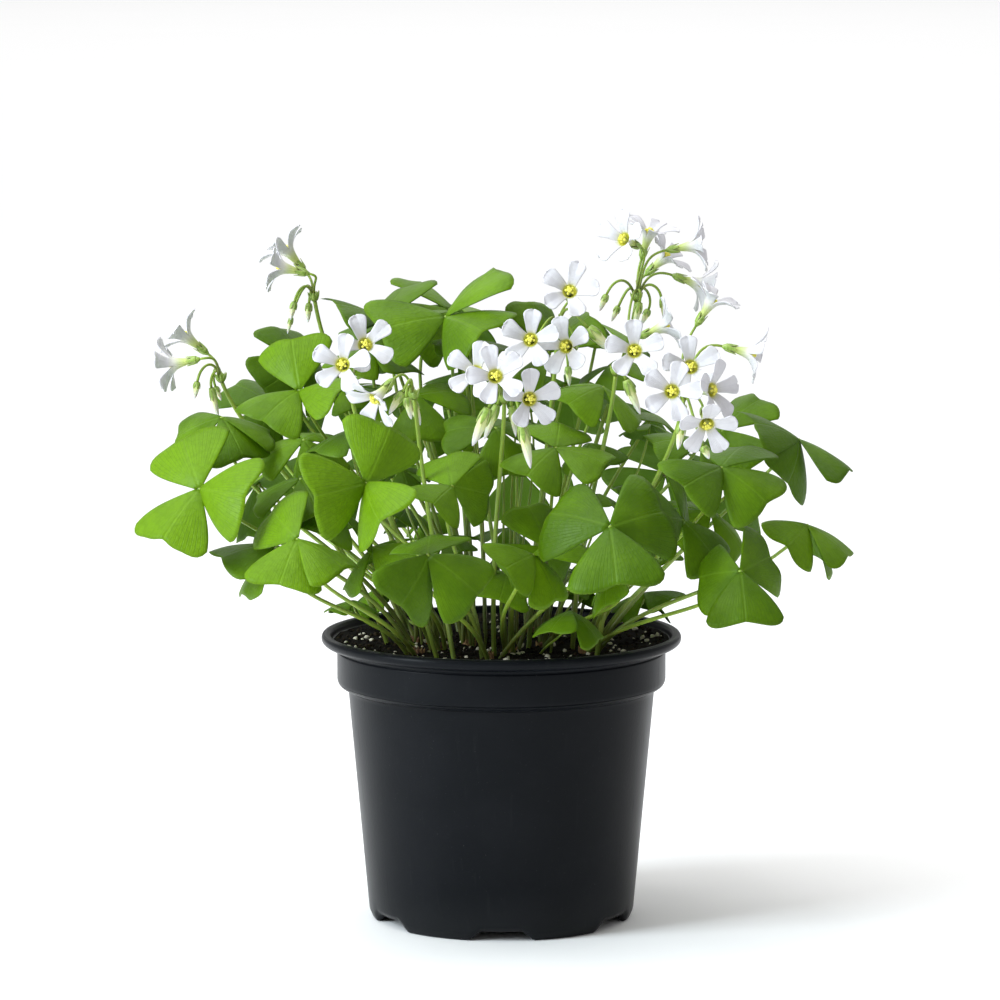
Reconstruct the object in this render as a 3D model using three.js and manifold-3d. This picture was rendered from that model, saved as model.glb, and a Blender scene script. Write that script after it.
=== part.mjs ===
// A flowering oxalis in a black plastic nursery pot, in millimetres, +Z up.
// The origin is on the floor under the middle of the pot, and the side seen first faces -Y.
import * as THREE from "three";
import { mergeVertices } from "three/addons/utils/BufferGeometryUtils.js";
import Module from "manifold-3d";

const wasm = await Module();
wasm.setup();

// Pot
const POT_HEIGHT = 104;
const RIM_RADIUS = 65;
const RIM_INNER_RADIUS = 61.6;
const LIP_HEIGHT = 4;
const LIP_SLOPE = 1.5;
const LIP_INNER_SLOPE = 0.5;
const COLLAR_RADIUS = 59.4;
const COLLAR_BOTTOM = 84.5;
const COLLAR_SLOPE = 1;
const WALL_TOP_RADIUS = 55.4;
const WALL_FOOT_RADIUS = 48;
const WALL_THICKNESS = 1.3;
const FOOT_RADIUS = 46.6;
const FOOT_INNER_RADIUS = 44.2;
const FOOT_ROUNDING = 3;
const FLOOR_BOTTOM = 2.6;
const FLOOR_TOP = 4;
const POT_SEGMENTS = 30;
const NOTCH_COUNT = 6;
const NOTCH_HEIGHT = 3.4;
const NOTCH_TOP_WIDTH = 15;
const NOTCH_FOOT_WIDTH = 23;
const NOTCH_DEPTH = 6;
const CUT_SPARE = 1;
const DRAIN_COUNT = 6;
const DRAIN_RADIUS = 4.5;
const DRAIN_CIRCLE = 33;
const DRAIN_SEGMENTS = 6;

// Soil
const GAP = 0.3;
const SOIL_TOP = 94;
const SOIL_SEGMENTS = 24;
const SOIL_RINGS = [46, 22];
const SOIL_SWELL = 0.4;
const SOIL_SWELL_WAVES = [3, 5];
const SOIL_CLEARANCE = 0.2;
const SOIL_SHOULDER = 1.4;
const PERLITE_RADIUS = 1.2;
const PERLITE_SPREAD = 0.6;
const PERLITE_LIFT = 0.3;
const PERLITE_SHAPE = [1, 0.8, 0.75];
const PERLITE_INNER_SHARE = 0.3;
const PERLITE_EDGE = 3;
const HOLE_SEGMENTS = 5;
const HOLE_SPARE = 3;
const PERLITE_COUNT = 12;
const PERLITE_CLEARANCE = 6;
const PERLITE_SEED = 7;

// Leaves
const BLADE_THICKNESS = 0.75;
const BLADE_DROOP = 24;
const BLADE_FOLD = 8;
const BLADE_LEAN = 12;
const BLADE_LEVEL = 0.25;
const BLADE_EDGE = [[0.36, 0.33], [0.8, 0.62], [0.99, 0.46]];
const BLADE_NOTCH = 0.905;
const BLADE_MIDDLE = 0.5;
const BLADE_CORNER = 0.07;
const LEAST_LIFT = 0.25;
const PETIOLE_RADIUS = 0.95;
const PETIOLE_STEPS = 5;
const PETIOLE_CLEARANCE = 8;
const PETIOLE_SWAY = 0.1;
const PETIOLE_RISE = 0.5;
const PETIOLE_REACH = 0.34;
const CROWN_RADIUS = 3.2;
const CROWN_DEPTH = 6;
const CROWN_RISE = 3;
const CROWN_SIDES = 5;
const ROOT_CIRCLE = 1.8;

// Flowers
const SCAPE_RADIUS = 1;
const SCAPE_DEPTH = 8;
const SCAPE_STEPS = 6;
const SCAPE_SIDES = 4;
const SCAPE_SWAY = 0.05;
const SCAPE_RISE = 0.5;
const SCAPE_SHIFT = 0.85;
const SCAPE_BOW = 0.25;
const SCAPE_SEAT = 1.2;
const KNOB_RADIUS = 2;
const KNOB_HALF_HEIGHT = 2.2;
const KNOB_RINGS = [[-1, 0.4], [-0.4, 1], [0.4, 0.75]];
const KNOB_SIDES = 5;
const PEDICEL_RADIUS = 0.5;
const PEDICEL_SIDES = 3;
const PEDICEL_START = 0.9;
const PEDICEL_LEAST_RISE = 0.3;
const PEDICEL_SWAY = 0.2;
const PEDICEL_RISE = 0.45;
const PEDICEL_REACH = 0.4;
const PEDICEL_STEPS = 4;
const BUD_STEPS = 3;
const BUD_LIFT = 2;
const BUD_RINGS = [[0.28, 1], [0.7, 0.75]];
const TUBE_LENGTH = 8.4;
const CALYX_LENGTH = 2.8;
const CALYX_WAIST = 1.6;
const CALYX_RADIUS = 1.35;
const CALYX_MOUTH_RADIUS = 1.25;
const PETAL_COUNT = 5;
const PETAL_THICKNESS = 0.75;
const PETAL_EDGE = [[6, 2.5, 1.1], [9.2, 2.4, 1.7]];
const PETAL_TIP = [10.4, 0, 1.9];
const THROAT_RADIUS = 2.5;
const THROAT_OUTER_RADIUS = 2.9;
const THROAT_DEPTH = 4.5;
const TUBE_BASE_RADIUS = 0.8;

// Each tuft has a crown at [x, y] in the soil. A leaf is [hub, leaflet length, three leaflets, bend]:
// a leaflet is [heading, dip, roll] in degrees, heading 0 toward the viewer and 90 to the right,
// and bend moves the lower part of the petiole sideways. Leaves are listed round the crown.
const TUFTS = [
  {
    name: "front",
    crown: [-5, -34],
    leaves: [
      [[-46, -101, 171], 25.5, [[-45, 5, -70], [140, -55, 55], [10, 25, 55]], [6, -12]],
      [[-17, -70, 166], 19.5, [[-170, -35, -20], [-20, 10, -35], [125, 15, 85]]],
      [[-25, -106, 147], 24, [[-180, -15, -10], [-30, 45, -70], [80, 35, 50]]],
      [[37, -100, 156], 27.5, [[-120, -10, -50], [125, -10, 60], [5, 40, 10]], [12, 0]],
    ],
  },
  {
    name: "front_left",
    crown: [-30, -25],
    leaves: [
      [[-105, -62, 164], 26, [[-155, -45, -40], [-45, 40, -20], [40, 0, 65]]],
      [[-79, -58, 144], 23, [[-70, 50, 5], [-65, 5, -15], [170, 35, 5]]],
      [[-70, -88, 150], 23, [[-145, -25, -55], [-20, 35, -10], [60, 20, 10]], [-4, -16]],
    ],
  },
  {
    name: "front_middle",
    crown: [3, -20],
    leaves: [
      [[-2, -42, 183], 20, [[-95, 0, -30], [30, 55, 0], [155, 0, 30]]],
      [[2, -37, 131], 18, [[-10, 25, -20], [120, 30, 20], [-125, 0, 5]]],
      [[11, -77, 143], 20, [[-30, 5, -45], [65, 55, 10], [110, -15, 15]], [-8, -6]],
      [[16, -60, 143], 19, [[-135, -60, -10], [-70, 35, -90], [140, 25, 90]], [-4, -6]],
      [[19, -59, 178], 21, [[-35, 20, -25], [70, 10, 20], [175, -25, 10]], [14, 16]],
    ],
  },
  {
    name: "right",
    crown: [30, -21],
    leaves: [
      [[82, -89, 139], 22.5, [[-130, 10, -65], [5, 45, 5], [140, -10, 65]]],
      [[63, -62, 153], 21, [[75, 45, 30], [-25, -10, -70], [175, -35, 70]], [6, 6]],
      [[76, -74, 173], 23, [[-40, 10, -40], [60, 30, 40], [155, -20, 0]]],
      [[107, -52, 150], 20, [[-25, 15, -45], [75, 30, 10], [125, 50, 25]]],
      [[74, -34, 152], 20, [[90, 45, 25], [-160, -10, 15], [-55, 15, -35]], [4, -10]],
      [[105, -34, 178], 23, [[-55, -25, -30], [75, 25, 5], [-10, 40, -65]], [20, 0]],
    ],
  },
  {
    name: "inner_left",
    crown: [-22, -16],
    leaves: [
      [[-70, -27, 177], 19, [[-100, 20, -30], [40, 40, 20], [150, -5, 10]]],
      [[-71, -40, 196], 23, [[-160, -60, -30], [-40, 20, -20], [45, -10, 30]], [6, 0]],
      [[-70, -58, 167], 20, [[-105, 20, -20], [25, 30, 15], [140, 0, 5]]],
      [[-53, -48, 183], 20, [[-45, 15, 5], [75, 15, 0], [-165, 20, 0]], [4, 8]],
      [[-58, -56, 157], 20, [[-15, 20, -25], [120, 35, 20], [-130, -5, 10]], [0, 4]],
      [[-45, -51, 142], 20, [[-85, 50, -5], [45, 5, 25], [155, 0, -25]], [4, 0]],
    ],
  },
  {
    name: "inner_right",
    crown: [15, -9],
    leaves: [
      [[39, -58, 135], 18, [[-20, 40, 40], [80, -20, 5], [-175, 25, -40]]],
      [[36, -29, 196], 20, [[-45, 10, -25], [85, 40, 10], [-160, 0, 15]]],
      [[71, -30, 177], 21, [[-70, -5, -20], [50, 45, -10], [-180, 10, 30]], [-4, -6]],
      [[17, 5, 205], 22, [[-145, -65, 15], [95, -45, 25], [-70, 40, -10]], [-6, -2]],
    ],
  },
  {
    name: "left",
    crown: [-31, 2],
    leaves: [
      [[-90, 46, 152], 23, [[-120, 70, 0], [0, -15, 45], [120, -15, -45]]],
      [[-83, 6, 186], 20, [[-125, -25, -20], [-30, 50, -40], [130, 15, 50]], [-4, 6]],
      [[-72, 3, 201], 20, [[-145, -45, 10], [-50, 25, -70], [135, 40, 70]], [18, -6]],
      [[-99, -27, 185], 21, [[-105, 20, -35], [110, 15, 15], [35, 40, 10]], [-12, 0]],
    ],
  },
  {
    name: "top",
    crown: [-12, -4],
    leaves: [
      [[-46, 2, 207], 20, [[-35, 15, -10], [55, 20, -5], [-150, 20, 5]]],
      [[-20, -8, 219], 28, [[-65, 5, -40], [110, -45, 0], [30, 5, 35]]],
      [[-30, -20, 192], 20, [[120, -5, 25], [-130, 5, -30], [5, 50, 10]]],
    ],
  },
  {
    name: "top_back",
    crown: [-12, 11],
    leaves: [
      [[-17, 56, 217], 24, [[175, 35, 5], [-65, 0, 15], [50, 5, -20]], [2, 0]],
      [[-19, 28, 218], 24, [[-145, -30, 20], [-40, 20, -55], [130, 50, 55]], [2, 0]],
      [[-40, 34, 214], 22, [[-95, 10, -5], [25, 20, 0], [145, 15, 5]], [-4, 2]],
      [[-62, 36, 187], 22, [[-85, 45, 20], [20, -15, 20], [135, 10, -40]]],
      [[-42, 7, 216], 24, [[-55, -25, -20], [160, -35, -25], [45, -10, 20]], [2, 0]],
    ],
  },
  {
    name: "back_right",
    crown: [28, 11],
    leaves: [
      [[80, 10, 176], 21, [[115, -40, 15], [-150, 25, -60], [30, 45, 65]]],
      [[88, 42, 152], 23, [[160, 60, 35], [-110, -30, 35], [10, 0, -55]]],
      [[56, 43, 178], 22, [[155, 50, 20], [-95, -15, 25], [20, 5, -35]], [-6, 10]],
    ],
  },
  {
    name: "back",
    crown: [11, 25],
    leaves: [
      [[36, 39, 212], 23, [[-155, 15, 10], [-40, 5, -5], [75, 25, -10]], [6, -6]],
      [[62, 92, 150], 24, [[-125, 25, 60], [-20, -40, -10], [65, 40, -55]]],
      [[24, 74, 186], 23, [[160, 55, 0], [-80, -5, 35], [40, -5, -35]]],
      [[6, 113, 149], 24, [[180, 60, 0], [-60, -10, 40], [55, -10, -40]]],
    ],
  },
  {
    name: "back_left",
    crown: [-13, 28],
    leaves: [
      [[-22, 76, 185], 23, [[-85, 30, 40], [20, -25, 0], [125, 30, -40]]],
      [[-52, 96, 150], 23, [[-75, 40, 55], [15, -40, 10], [120, 25, -60]]],
    ],
  },
];

// Each stalk has its foot and top at the knob, a bend that moves its lower part sideways, blooms
// as [throat, heading, rise, turn] and buds as [stalk end, tip, radius].
const STALKS = [
  {
    name: "far_left",
    foot: [-37, -3],
    top: [-100, -12, 198],
    bend: [-10, -3],
    blooms: [
      [[-114, -8, 213], -95, 38, 0],
      [[-118, -20, 203], -105, -12, 20],
    ],
    buds: [
      [[-108, -20, 197], [-109, -20, 191], 1.3],
      [[-103.5, -12, 194], [-101, -12, 183], 1.3],
      [[-102.5, -4, 193.5], [-100.5, -4, 188.5], 1.2],
    ],
  },
  {
    name: "left",
    foot: [-34, 12],
    top: [-67, 0, 226],
    bend: [0, 0],
    blooms: [
      [[-78, 6, 243], -105, 48, 0],
      [[-80, -8, 237], -95, 12, 30],
    ],
    buds: [
      [[-74, -4, 224], [-75.5, -4, 217.5], 1.3],
      [[-69, 2, 223], [-69.5, 2, 216], 1.3],
      [[-75.5, 6, 217.5], [-77, 6, 211.5], 0.9],
    ],
  },
  {
    name: "inner_left",
    foot: [-19, -34],
    top: [-52, -69, 199],
    bend: [-13, -7],
    blooms: [
      [[-55, -74, 209], -8, 14, 10],
      [[-47, -64, 215], 8, 18, 40],
    ],
    buds: [],
  },
  {
    name: "front_left",
    foot: [-14, -44],
    top: [-30, -76, 199],
    bend: [-10, 10],
    blooms: [
      [[-44, -92, 198], -50, -37, 15],
    ],
    buds: [
      [[-34, -86, 200.5], [-38.5, -86, 193], 1.6],
      [[-32.5, -80, 198], [-31, -80, 190.5], 1.5],
      [[-31, -72, 196.5], [-28, -72, 187.5], 1.8],
    ],
  },
  {
    name: "front",
    foot: [-2, -28],
    top: [1, -71, 197],
    bend: [-3, -3],
    blooms: [
      [[-9, -78, 207], -7, 22, 5],
      [[-2, -92, 207], 5, 15, 36],
      [[10, -84, 198], 14, 6, 20],
    ],
    buds: [
      [[-4.5, -82, 194.5], [-10, -82, 181.5], 2.3],
      [[-1.5, -68, 194], [-6, -68, 182], 1.7],
      [[3.5, -76, 194.5], [5, -76, 184], 1.4],
      [[7, -84, 189.5], [10, -84, 174], 2.2],
    ],
  },
  {
    name: "middle",
    foot: [9, -13],
    top: [20, -28, 219],
    bend: [3, 0],
    blooms: [
      [[10, -48, 215], -6, 12, 12],
      [[22, -42, 212], -22, 8, 30],
      [[24, -34, 231], 0, 22, 0],
    ],
    buds: [
      [[30.5, -38, 218], [39, -38, 209.5], 2.4],
      [[23.5, -30, 203.5], [24, -30, 196.5], 1.3],
    ],
  },
  {
    name: "inner_right",
    foot: [25, -16],
    top: [40, -46, 204],
    bend: [0, 0],
    blooms: [
      [[46, -66, 213], 0, 14, 20],
    ],
    buds: [
      [[43.5, -52, 201], [48.5, -52, 189], 1.9],
    ],
  },
  {
    name: "front_right",
    foot: [33, -29],
    top: [62, -71, 193],
    bend: [0, -3],
    blooms: [
      [[74, -52, 230], 85, 58, 20],
      [[65, -81, 209], 4, 14, 25],
      [[58, -96, 202], 0, 8, 0],
      [[73, -92, 202], 50, 6, 10],
      [[70, -98, 190], 6, -28, 15],
      [[88, -62, 211], 85, -14, 0],
    ],
    buds: [
      [[62, -84, 189.5], [60.5, -84, 180.5], 1.7],
      [[69, -90, 182.5], [71, -90, 178], 1.6],
    ],
  },
  {
    name: "right",
    foot: [20, 12],
    top: [49, 20, 224],
    bend: [0, 0],
    blooms: [
      [[43, 8, 246], -40, 20, 20],
      [[54, 24, 248], 60, 72, 10],
      [[61, 34, 238], 75, 42, 0],
      [[71, 14, 243], 85, 10, 30],
      [[73, 28, 227], 100, -20, 12],
      [[60, 4, 215], 95, 22, 0],
    ],
    buds: [
      [[38, 14, 225], [35.5, 14, 219], 1.3],
      [[42.5, 22, 220], [40, 22, 214.5], 1.2],
      [[50, 16, 222], [48, 16, 212.5], 1.5],
      [[53.5, 26, 218.5], [51, 26, 213], 1.4],
      [[58, 20, 223], [59, 20, 215], 0.9],
    ],
  },
];

const UP = new THREE.Vector3(0, 0, 1);
const rad = THREE.MathUtils.degToRad;

// Solids and geometry

// A closed body from corner points and triangles that face out.
function body(points, faces) {
  const vertProperties = new Float32Array(points.flatMap((p) => [p.x, p.y, p.z]));
  const triVerts = new Uint32Array(faces.flat());
  return new wasm.Manifold(new wasm.Mesh({ numProp: 3, vertProperties, triVerts }));
}

function solidOf(geometry) {
  const bare = geometry.clone();
  bare.deleteAttribute("normal");
  bare.deleteAttribute("uv");
  const merged = mergeVertices(bare, 1e-4);
  const vertProperties = new Float32Array(merged.attributes.position.array);
  const triVerts = new Uint32Array(merged.index.array);
  return new wasm.Manifold(new wasm.Mesh({ numProp: 3, vertProperties, triVerts }));
}

function geometryOf(solid) {
  const mesh = solid.getMesh();
  const geometry = new THREE.BufferGeometry();
  geometry.setAttribute("position", new THREE.BufferAttribute(new Float32Array(mesh.vertProperties), 3));
  geometry.setIndex(new THREE.BufferAttribute(new Uint32Array(mesh.triVerts), 1));
  geometry.computeVertexNormals();
  return geometry;
}

// A profile of [radius, z] turned round the Z axis, from the axis and back to it.
function turned(profile, segments) {
  const geometry = new THREE.LatheGeometry(profile.map(([r, z]) => new THREE.Vector2(r, z)), segments);
  geometry.rotateX(Math.PI / 2);
  return geometry;
}

function cylinder(radius, bottom, top, sides, x, y) {
  const geometry = new THREE.CylinderGeometry(radius, radius, top - bottom, sides);
  geometry.rotateX(Math.PI / 2);
  geometry.translate(x, y, (top + bottom) / 2);
  return solidOf(geometry);
}

function vec(x, y, z) {
  return new THREE.Vector3(x, y, z);
}

// origin + the sum of each direction times its amount
function along(origin, ...steps) {
  const point = origin.clone();
  for (const [direction, amount] of steps) point.addScaledVector(direction, amount);
  return point;
}

// Directions along the path, from each point's two neighbours.
function tangents(path) {
  const last = path.length - 1;
  return path.map((_, i) => path[Math.min(i + 1, last)].clone().sub(path[Math.max(i - 1, 0)]).normalize());
}

// A tube through the path with a radius at each point, flat at its start, and at its end flat
// or drawn to a tip. Its section is carried along without twist.
function loft(path, radii, sides, tip) {
  const points = [];
  const faces = [];
  const directions = tangents(path);
  const across = Math.abs(directions[0].x) < 0.8 ? vec(1, 0, 0) : vec(0, 1, 0);
  path.forEach((centre, i) => {
    across.addScaledVector(directions[i], -across.dot(directions[i])).normalize();
    const side = directions[i].clone().cross(across);
    for (let j = 0; j < sides; j++) {
      const angle = (2 * Math.PI * j) / sides;
      points.push(along(centre, [across, radii[i] * Math.cos(angle)], [side, radii[i] * Math.sin(angle)]));
    }
  });
  for (let i = 0; i < path.length - 1; i++) {
    for (let j = 0; j < sides; j++) {
      const a = i * sides + j;
      const b = i * sides + ((j + 1) % sides);
      faces.push([a, b, b + sides], [a, b + sides, a + sides]);
    }
  }
  const end = (path.length - 1) * sides;
  for (let j = 1; j < sides - 1; j++) faces.push([0, j + 1, j]);
  if (tip) {
    points.push(tip);
    for (let j = 0; j < sides; j++) faces.push([end + j, end + ((j + 1) % sides), points.length - 1]);
  } else {
    for (let j = 1; j < sides - 1; j++) faces.push([end, end + j, end + j + 1]);
  }
  return body(points, faces);
}

// Leaves

// Heading, dip and roll as three directions: m along the leaflet, c across it, n up from its face.
function attitude([heading, dip, roll]) {
  const [h, d, r] = [rad(heading), rad(dip), rad(roll)];
  const m = vec(Math.sin(h) * Math.cos(d), -Math.cos(h) * Math.cos(d), -Math.sin(d));
  const level = vec(Math.cos(h), Math.sin(h), 0);
  const up = m.clone().cross(level);
  if (up.z < 0) up.negate();
  const c = along(vec(0, 0, 0), [level, Math.cos(r)], [up, Math.sin(r)]);
  const n = along(vec(0, 0, 0), [up, Math.cos(r)], [level, -Math.sin(r)]);
  return { m, c, n };
}

// A point of a leaflet, s along and w across in leaflet lengths, lifted off its face. The leaflet
// arches down by the droop angle from hub to edge and its halves fold down from the midrib.
function leafletPoint(hub, length, { m, c, n }, s, w, lift) {
  const arc = rad(BLADE_DROOP) * (s / 2 - BLADE_LEVEL);
  const bend = rad(BLADE_DROOP) * (s - BLADE_LEVEL);
  const normal = along(vec(0, 0, 0), [n, Math.cos(bend)], [m, Math.sin(bend)]);
  const fold = rad(BLADE_FOLD);
  return along(
    hub,
    [m, length * s * Math.cos(arc)],
    [n, -length * s * Math.sin(arc)],
    [c, length * w * Math.cos(fold)],
    [normal, lift - length * Math.abs(w) * Math.sin(fold)],
  );
}

// The way a whole leaf faces: the mean of its leaflets' faces, each leaned back, never from below.
function facing(blades) {
  const axis = vec(0, 0, 0);
  for (const { m, n } of blades) {
    axis.addScaledVector(n, Math.cos(rad(BLADE_LEAN))).addScaledVector(m, -Math.sin(rad(BLADE_LEAN)));
  }
  axis.normalize();
  axis.z = Math.max(axis.z, LEAST_LIFT);
  return axis.normalize();
}

// The petiole rises straight from its root and comes to the hub from behind the leaf.
function petiolePath(root, hub, axis, bend) {
  const reach = hub.distanceTo(root);
  const low = vec(
    root.x + PETIOLE_SWAY * (hub.x - root.x) + bend[0],
    root.y + PETIOLE_SWAY * (hub.y - root.y) + bend[1],
    root.z + PETIOLE_RISE * (hub.z - root.z),
  );
  const high = along(hub, [axis, -PETIOLE_REACH * reach]);
  high.z = Math.max(high.z, SOIL_TOP + PETIOLE_CLEARANCE);
  return new THREE.CubicBezierCurve3(root, low, high, hub).getPoints(PETIOLE_STEPS);
}

// Three leaflets, notched at their ends, and the petiole under them as one closed body. Both
// faces of each leaflet are split into triangles alike.
function leaf([place, length, leaflets, bend = [0, 0]], root) {
  const hub = vec(...place);
  const unsorted = leaflets.map(attitude);
  const axis = facing(unsorted);
  const u = along(unsorted[0].m, [axis, -unsorted[0].m.dot(axis)]).normalize();
  const v = axis.clone().cross(u);
  const turnOf = ({ m }) => (Math.atan2(m.dot(v), m.dot(u)) + 2 * Math.PI) % (2 * Math.PI);
  const blades = unsorted.map((blade) => ({ ...blade, turn: turnOf(blade) })).sort((a, b) => a.turn - b.turn);
  const between = blades.map(({ turn }, k) => {
    const next = k < 2 ? blades[k + 1].turn : blades[0].turn + 2 * Math.PI;
    const angle = (turn + next) / 2;
    return along(vec(0, 0, 0), [u, Math.cos(angle)], [v, Math.sin(angle)]);
  });
  const points = [];
  const faces = [];
  const add = (point) => points.push(point) - 1;
  const half = BLADE_THICKNESS / 2;
  const cornersTop = between.map((d) => add(along(hub, [d, BLADE_CORNER * length], [axis, half])));
  const cornersBottom = between.map((d) => add(along(hub, [d, BLADE_CORNER * length], [axis, -half])));
  const hubTop = add(along(hub, [axis, half]));
  const collar = between.map((d) => add(along(hub, [d, PETIOLE_RADIUS], [axis, -half])));
  blades.forEach((blade, k) => {
    const before = (k + 2) % 3;
    const side = blade.c.dot(axis.clone().cross(blade.m)) > 0 ? 1 : -1;
    const lift = blade.n.dot(axis) > 0 ? half : -half;
    const spot = (s, w, up) => add(leafletPoint(hub, length, blade, s, w, up ? lift : -lift));
    const nearTop = BLADE_EDGE.map(([s, w]) => spot(s, -side * w, true));
    const nearBottom = BLADE_EDGE.map(([s, w]) => spot(s, -side * w, false));
    const farTop = BLADE_EDGE.map(([s, w]) => spot(s, side * w, true));
    const farBottom = BLADE_EDGE.map(([s, w]) => spot(s, side * w, false));
    const notchTop = spot(BLADE_NOTCH, 0, true);
    const notchBottom = spot(BLADE_NOTCH, 0, false);
    const middleTop = spot(BLADE_MIDDLE, 0, true);
    const middleBottom = spot(BLADE_MIDDLE, 0, false);
    const halfBlade = (start, corner, [e1, e2, e3], middle, notch, flipped) => {
      const inner = [[start, corner, e1], [start, e1, middle], [middle, e1, e2]];
      const fan = [...inner, [middle, e2, notch], [notch, e2, e3]];
      for (const [a, b, c] of fan) faces.push(flipped ? [a, c, b] : [a, b, c]);
    };
    halfBlade(hubTop, cornersTop[before], nearTop, middleTop, notchTop, false);
    halfBlade(hubTop, cornersTop[k], farTop, middleTop, notchTop, true);
    halfBlade(collar[before], cornersBottom[before], nearBottom, middleBottom, notchBottom, true);
    halfBlade(collar[k], cornersBottom[k], farBottom, middleBottom, notchBottom, false);
    faces.push([collar[before], collar[k], middleBottom]);
    farTop.reverse();
    farBottom.reverse();
    const rimTop = [cornersTop[before], ...nearTop, notchTop, ...farTop, cornersTop[k]];
    const rimBottom = [cornersBottom[before], ...nearBottom, notchBottom, ...farBottom, cornersBottom[k]];
    for (let i = 0; i < rimTop.length - 1; i++) {
      faces.push([rimTop[i], rimBottom[i], rimBottom[i + 1]], [rimTop[i], rimBottom[i + 1], rimTop[i + 1]]);
    }
  });
  const path = petiolePath(root, hub, axis, bend).reverse();
  const directions = tangents(path);
  const spokes = collar.map((i) => along(points[i].clone().sub(hub), [axis, half]));
  let direction = axis.clone().negate();
  let ring = collar;
  for (let i = 1; i < path.length; i++) {
    const turn = new THREE.Quaternion().setFromUnitVectors(direction, directions[i]);
    spokes.forEach((spoke) => spoke.applyQuaternion(turn));
    direction = directions[i];
    const next = spokes.map((spoke) => add(path[i].clone().add(spoke)));
    for (let j = 0; j < 3; j++) {
      const k = (j + 1) % 3;
      faces.push([ring[k], ring[j], next[j]], [ring[k], next[j], next[k]]);
    }
    ring = next;
  }
  faces.push([ring[0], ring[2], ring[1]]);
  return body(points, faces);
}

// A tuft is a short crown in the soil with its leaves rooted on a ring inside it. The ring is
// turned so that the middle leaf's root lies toward the middle of the leaves.
function tuft({ crown, leaves }) {
  const [x, y] = crown;
  const toward = Math.atan2(
    leaves.reduce((sum, [hub]) => sum + hub[1] - y, 0),
    leaves.reduce((sum, [hub]) => sum + hub[0] - x, 0),
  );
  const heights = [SOIL_TOP - CROWN_DEPTH, SOIL_TOP, SOIL_TOP + CROWN_RISE];
  const radii = [CROWN_RADIUS, CROWN_RADIUS, ROOT_CIRCLE];
  const knob = loft(heights.map((z) => vec(x, y, z)), radii, CROWN_SIDES);
  return leaves.reduce((solid, row, i) => {
    const angle = toward + (2 * Math.PI * (i - (leaves.length - 1) / 2)) / leaves.length;
    const root = vec(x + ROOT_CIRCLE * Math.cos(angle), y + ROOT_CIRCLE * Math.sin(angle), SOIL_TOP);
    return solid.add(leaf(row, root));
  }, knob);
}

// Flowers

// The way a flower looks: heading 0 toward the viewer and 90 to the right, rise above level.
function outlook(heading, rise) {
  const [h, e] = [rad(heading), rad(rise)];
  return vec(Math.sin(h) * Math.cos(e), -Math.cos(h) * Math.cos(e), Math.sin(e));
}

function scapePath({ foot, top, bend }) {
  const start = vec(foot[0], foot[1], SOIL_TOP - SCAPE_DEPTH);
  const end = vec(...top);
  const low = vec(
    start.x + SCAPE_SWAY * (end.x - start.x) + bend[0],
    start.y + SCAPE_SWAY * (end.y - start.y) + bend[1],
    start.z + SCAPE_RISE * (end.z - start.z),
  );
  const high = start.clone().lerp(end, SCAPE_SHIFT).setZ(end.z - SCAPE_BOW * (end.z - start.z));
  return new THREE.CubicBezierCurve3(start, low, high, along(end, [UP, -SCAPE_SEAT]));
}

// A pedicel leaves the knob, rises by the lift and comes to its end from behind.
function pedicelPath(knob, end, direction, lift, steps) {
  const way = end.clone().sub(knob);
  const reach = way.length();
  const out = vec(way.x / reach, way.y / reach, Math.max(way.z / reach, PEDICEL_LEAST_RISE));
  const start = along(knob, [out, PEDICEL_START]);
  const rise = vec(
    start.x + PEDICEL_SWAY * way.x,
    start.y + PEDICEL_SWAY * way.y,
    start.z + PEDICEL_RISE * reach + lift,
  );
  const back = along(end, [direction, -(PEDICEL_REACH * reach + lift)]);
  return new THREE.CubicBezierCurve3(start, rise, back, end).getPoints(steps);
}

// A flower's pedicel and calyx: a cup whose flat mouth takes the foot of the petal tube.
function calyx(knob, [place, heading, rise]) {
  const direction = outlook(heading, rise);
  const end = along(vec(...place), [direction, -(TUBE_LENGTH + GAP + CALYX_LENGTH)]);
  const path = pedicelPath(knob, end, direction, 0, PEDICEL_STEPS);
  const cup = [along(end, [direction, CALYX_WAIST]), along(end, [direction, CALYX_LENGTH])];
  const radii = [...path.map(() => PEDICEL_RADIUS), CALYX_RADIUS, CALYX_MOUTH_RADIUS];
  return loft([...path, ...cup], radii, PEDICEL_SIDES);
}

// A closed bud on its pedicel, from its stalk end to its tip.
function bud(knob, [from, to, radius]) {
  const end = vec(...from);
  const tip = vec(...to);
  const length = tip.distanceTo(end);
  const direction = tip.clone().sub(end).normalize();
  const path = pedicelPath(knob, end, direction, BUD_LIFT, BUD_STEPS);
  const swell = BUD_RINGS.map(([share]) => along(end, [direction, share * length]));
  const radii = [...path.map(() => PEDICEL_RADIUS), ...BUD_RINGS.map(([, share]) => share * radius)];
  return loft([...path, ...swell], radii, PEDICEL_SIDES, tip);
}

// A flower stalk: the scape from the soil, the knob at its top, and what stands on the knob.
function stalk(row) {
  const knob = vec(...row.top);
  const scape = scapePath(row).getPoints(SCAPE_STEPS);
  const knobPath = KNOB_RINGS.map(([height]) => along(knob, [UP, height * KNOB_HALF_HEIGHT]));
  const knobRadii = KNOB_RINGS.map(([, share]) => share * KNOB_RADIUS);
  let solid = loft(scape, scape.map(() => SCAPE_RADIUS), SCAPE_SIDES);
  solid = solid.add(loft(knobPath, knobRadii, KNOB_SIDES, along(knob, [UP, KNOB_HALF_HEIGHT])));
  for (const bloom of row.blooms) solid = solid.add(calyx(knob, bloom));
  for (const closed of row.buds) solid = solid.add(bud(knob, closed));
  return solid;
}

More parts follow.
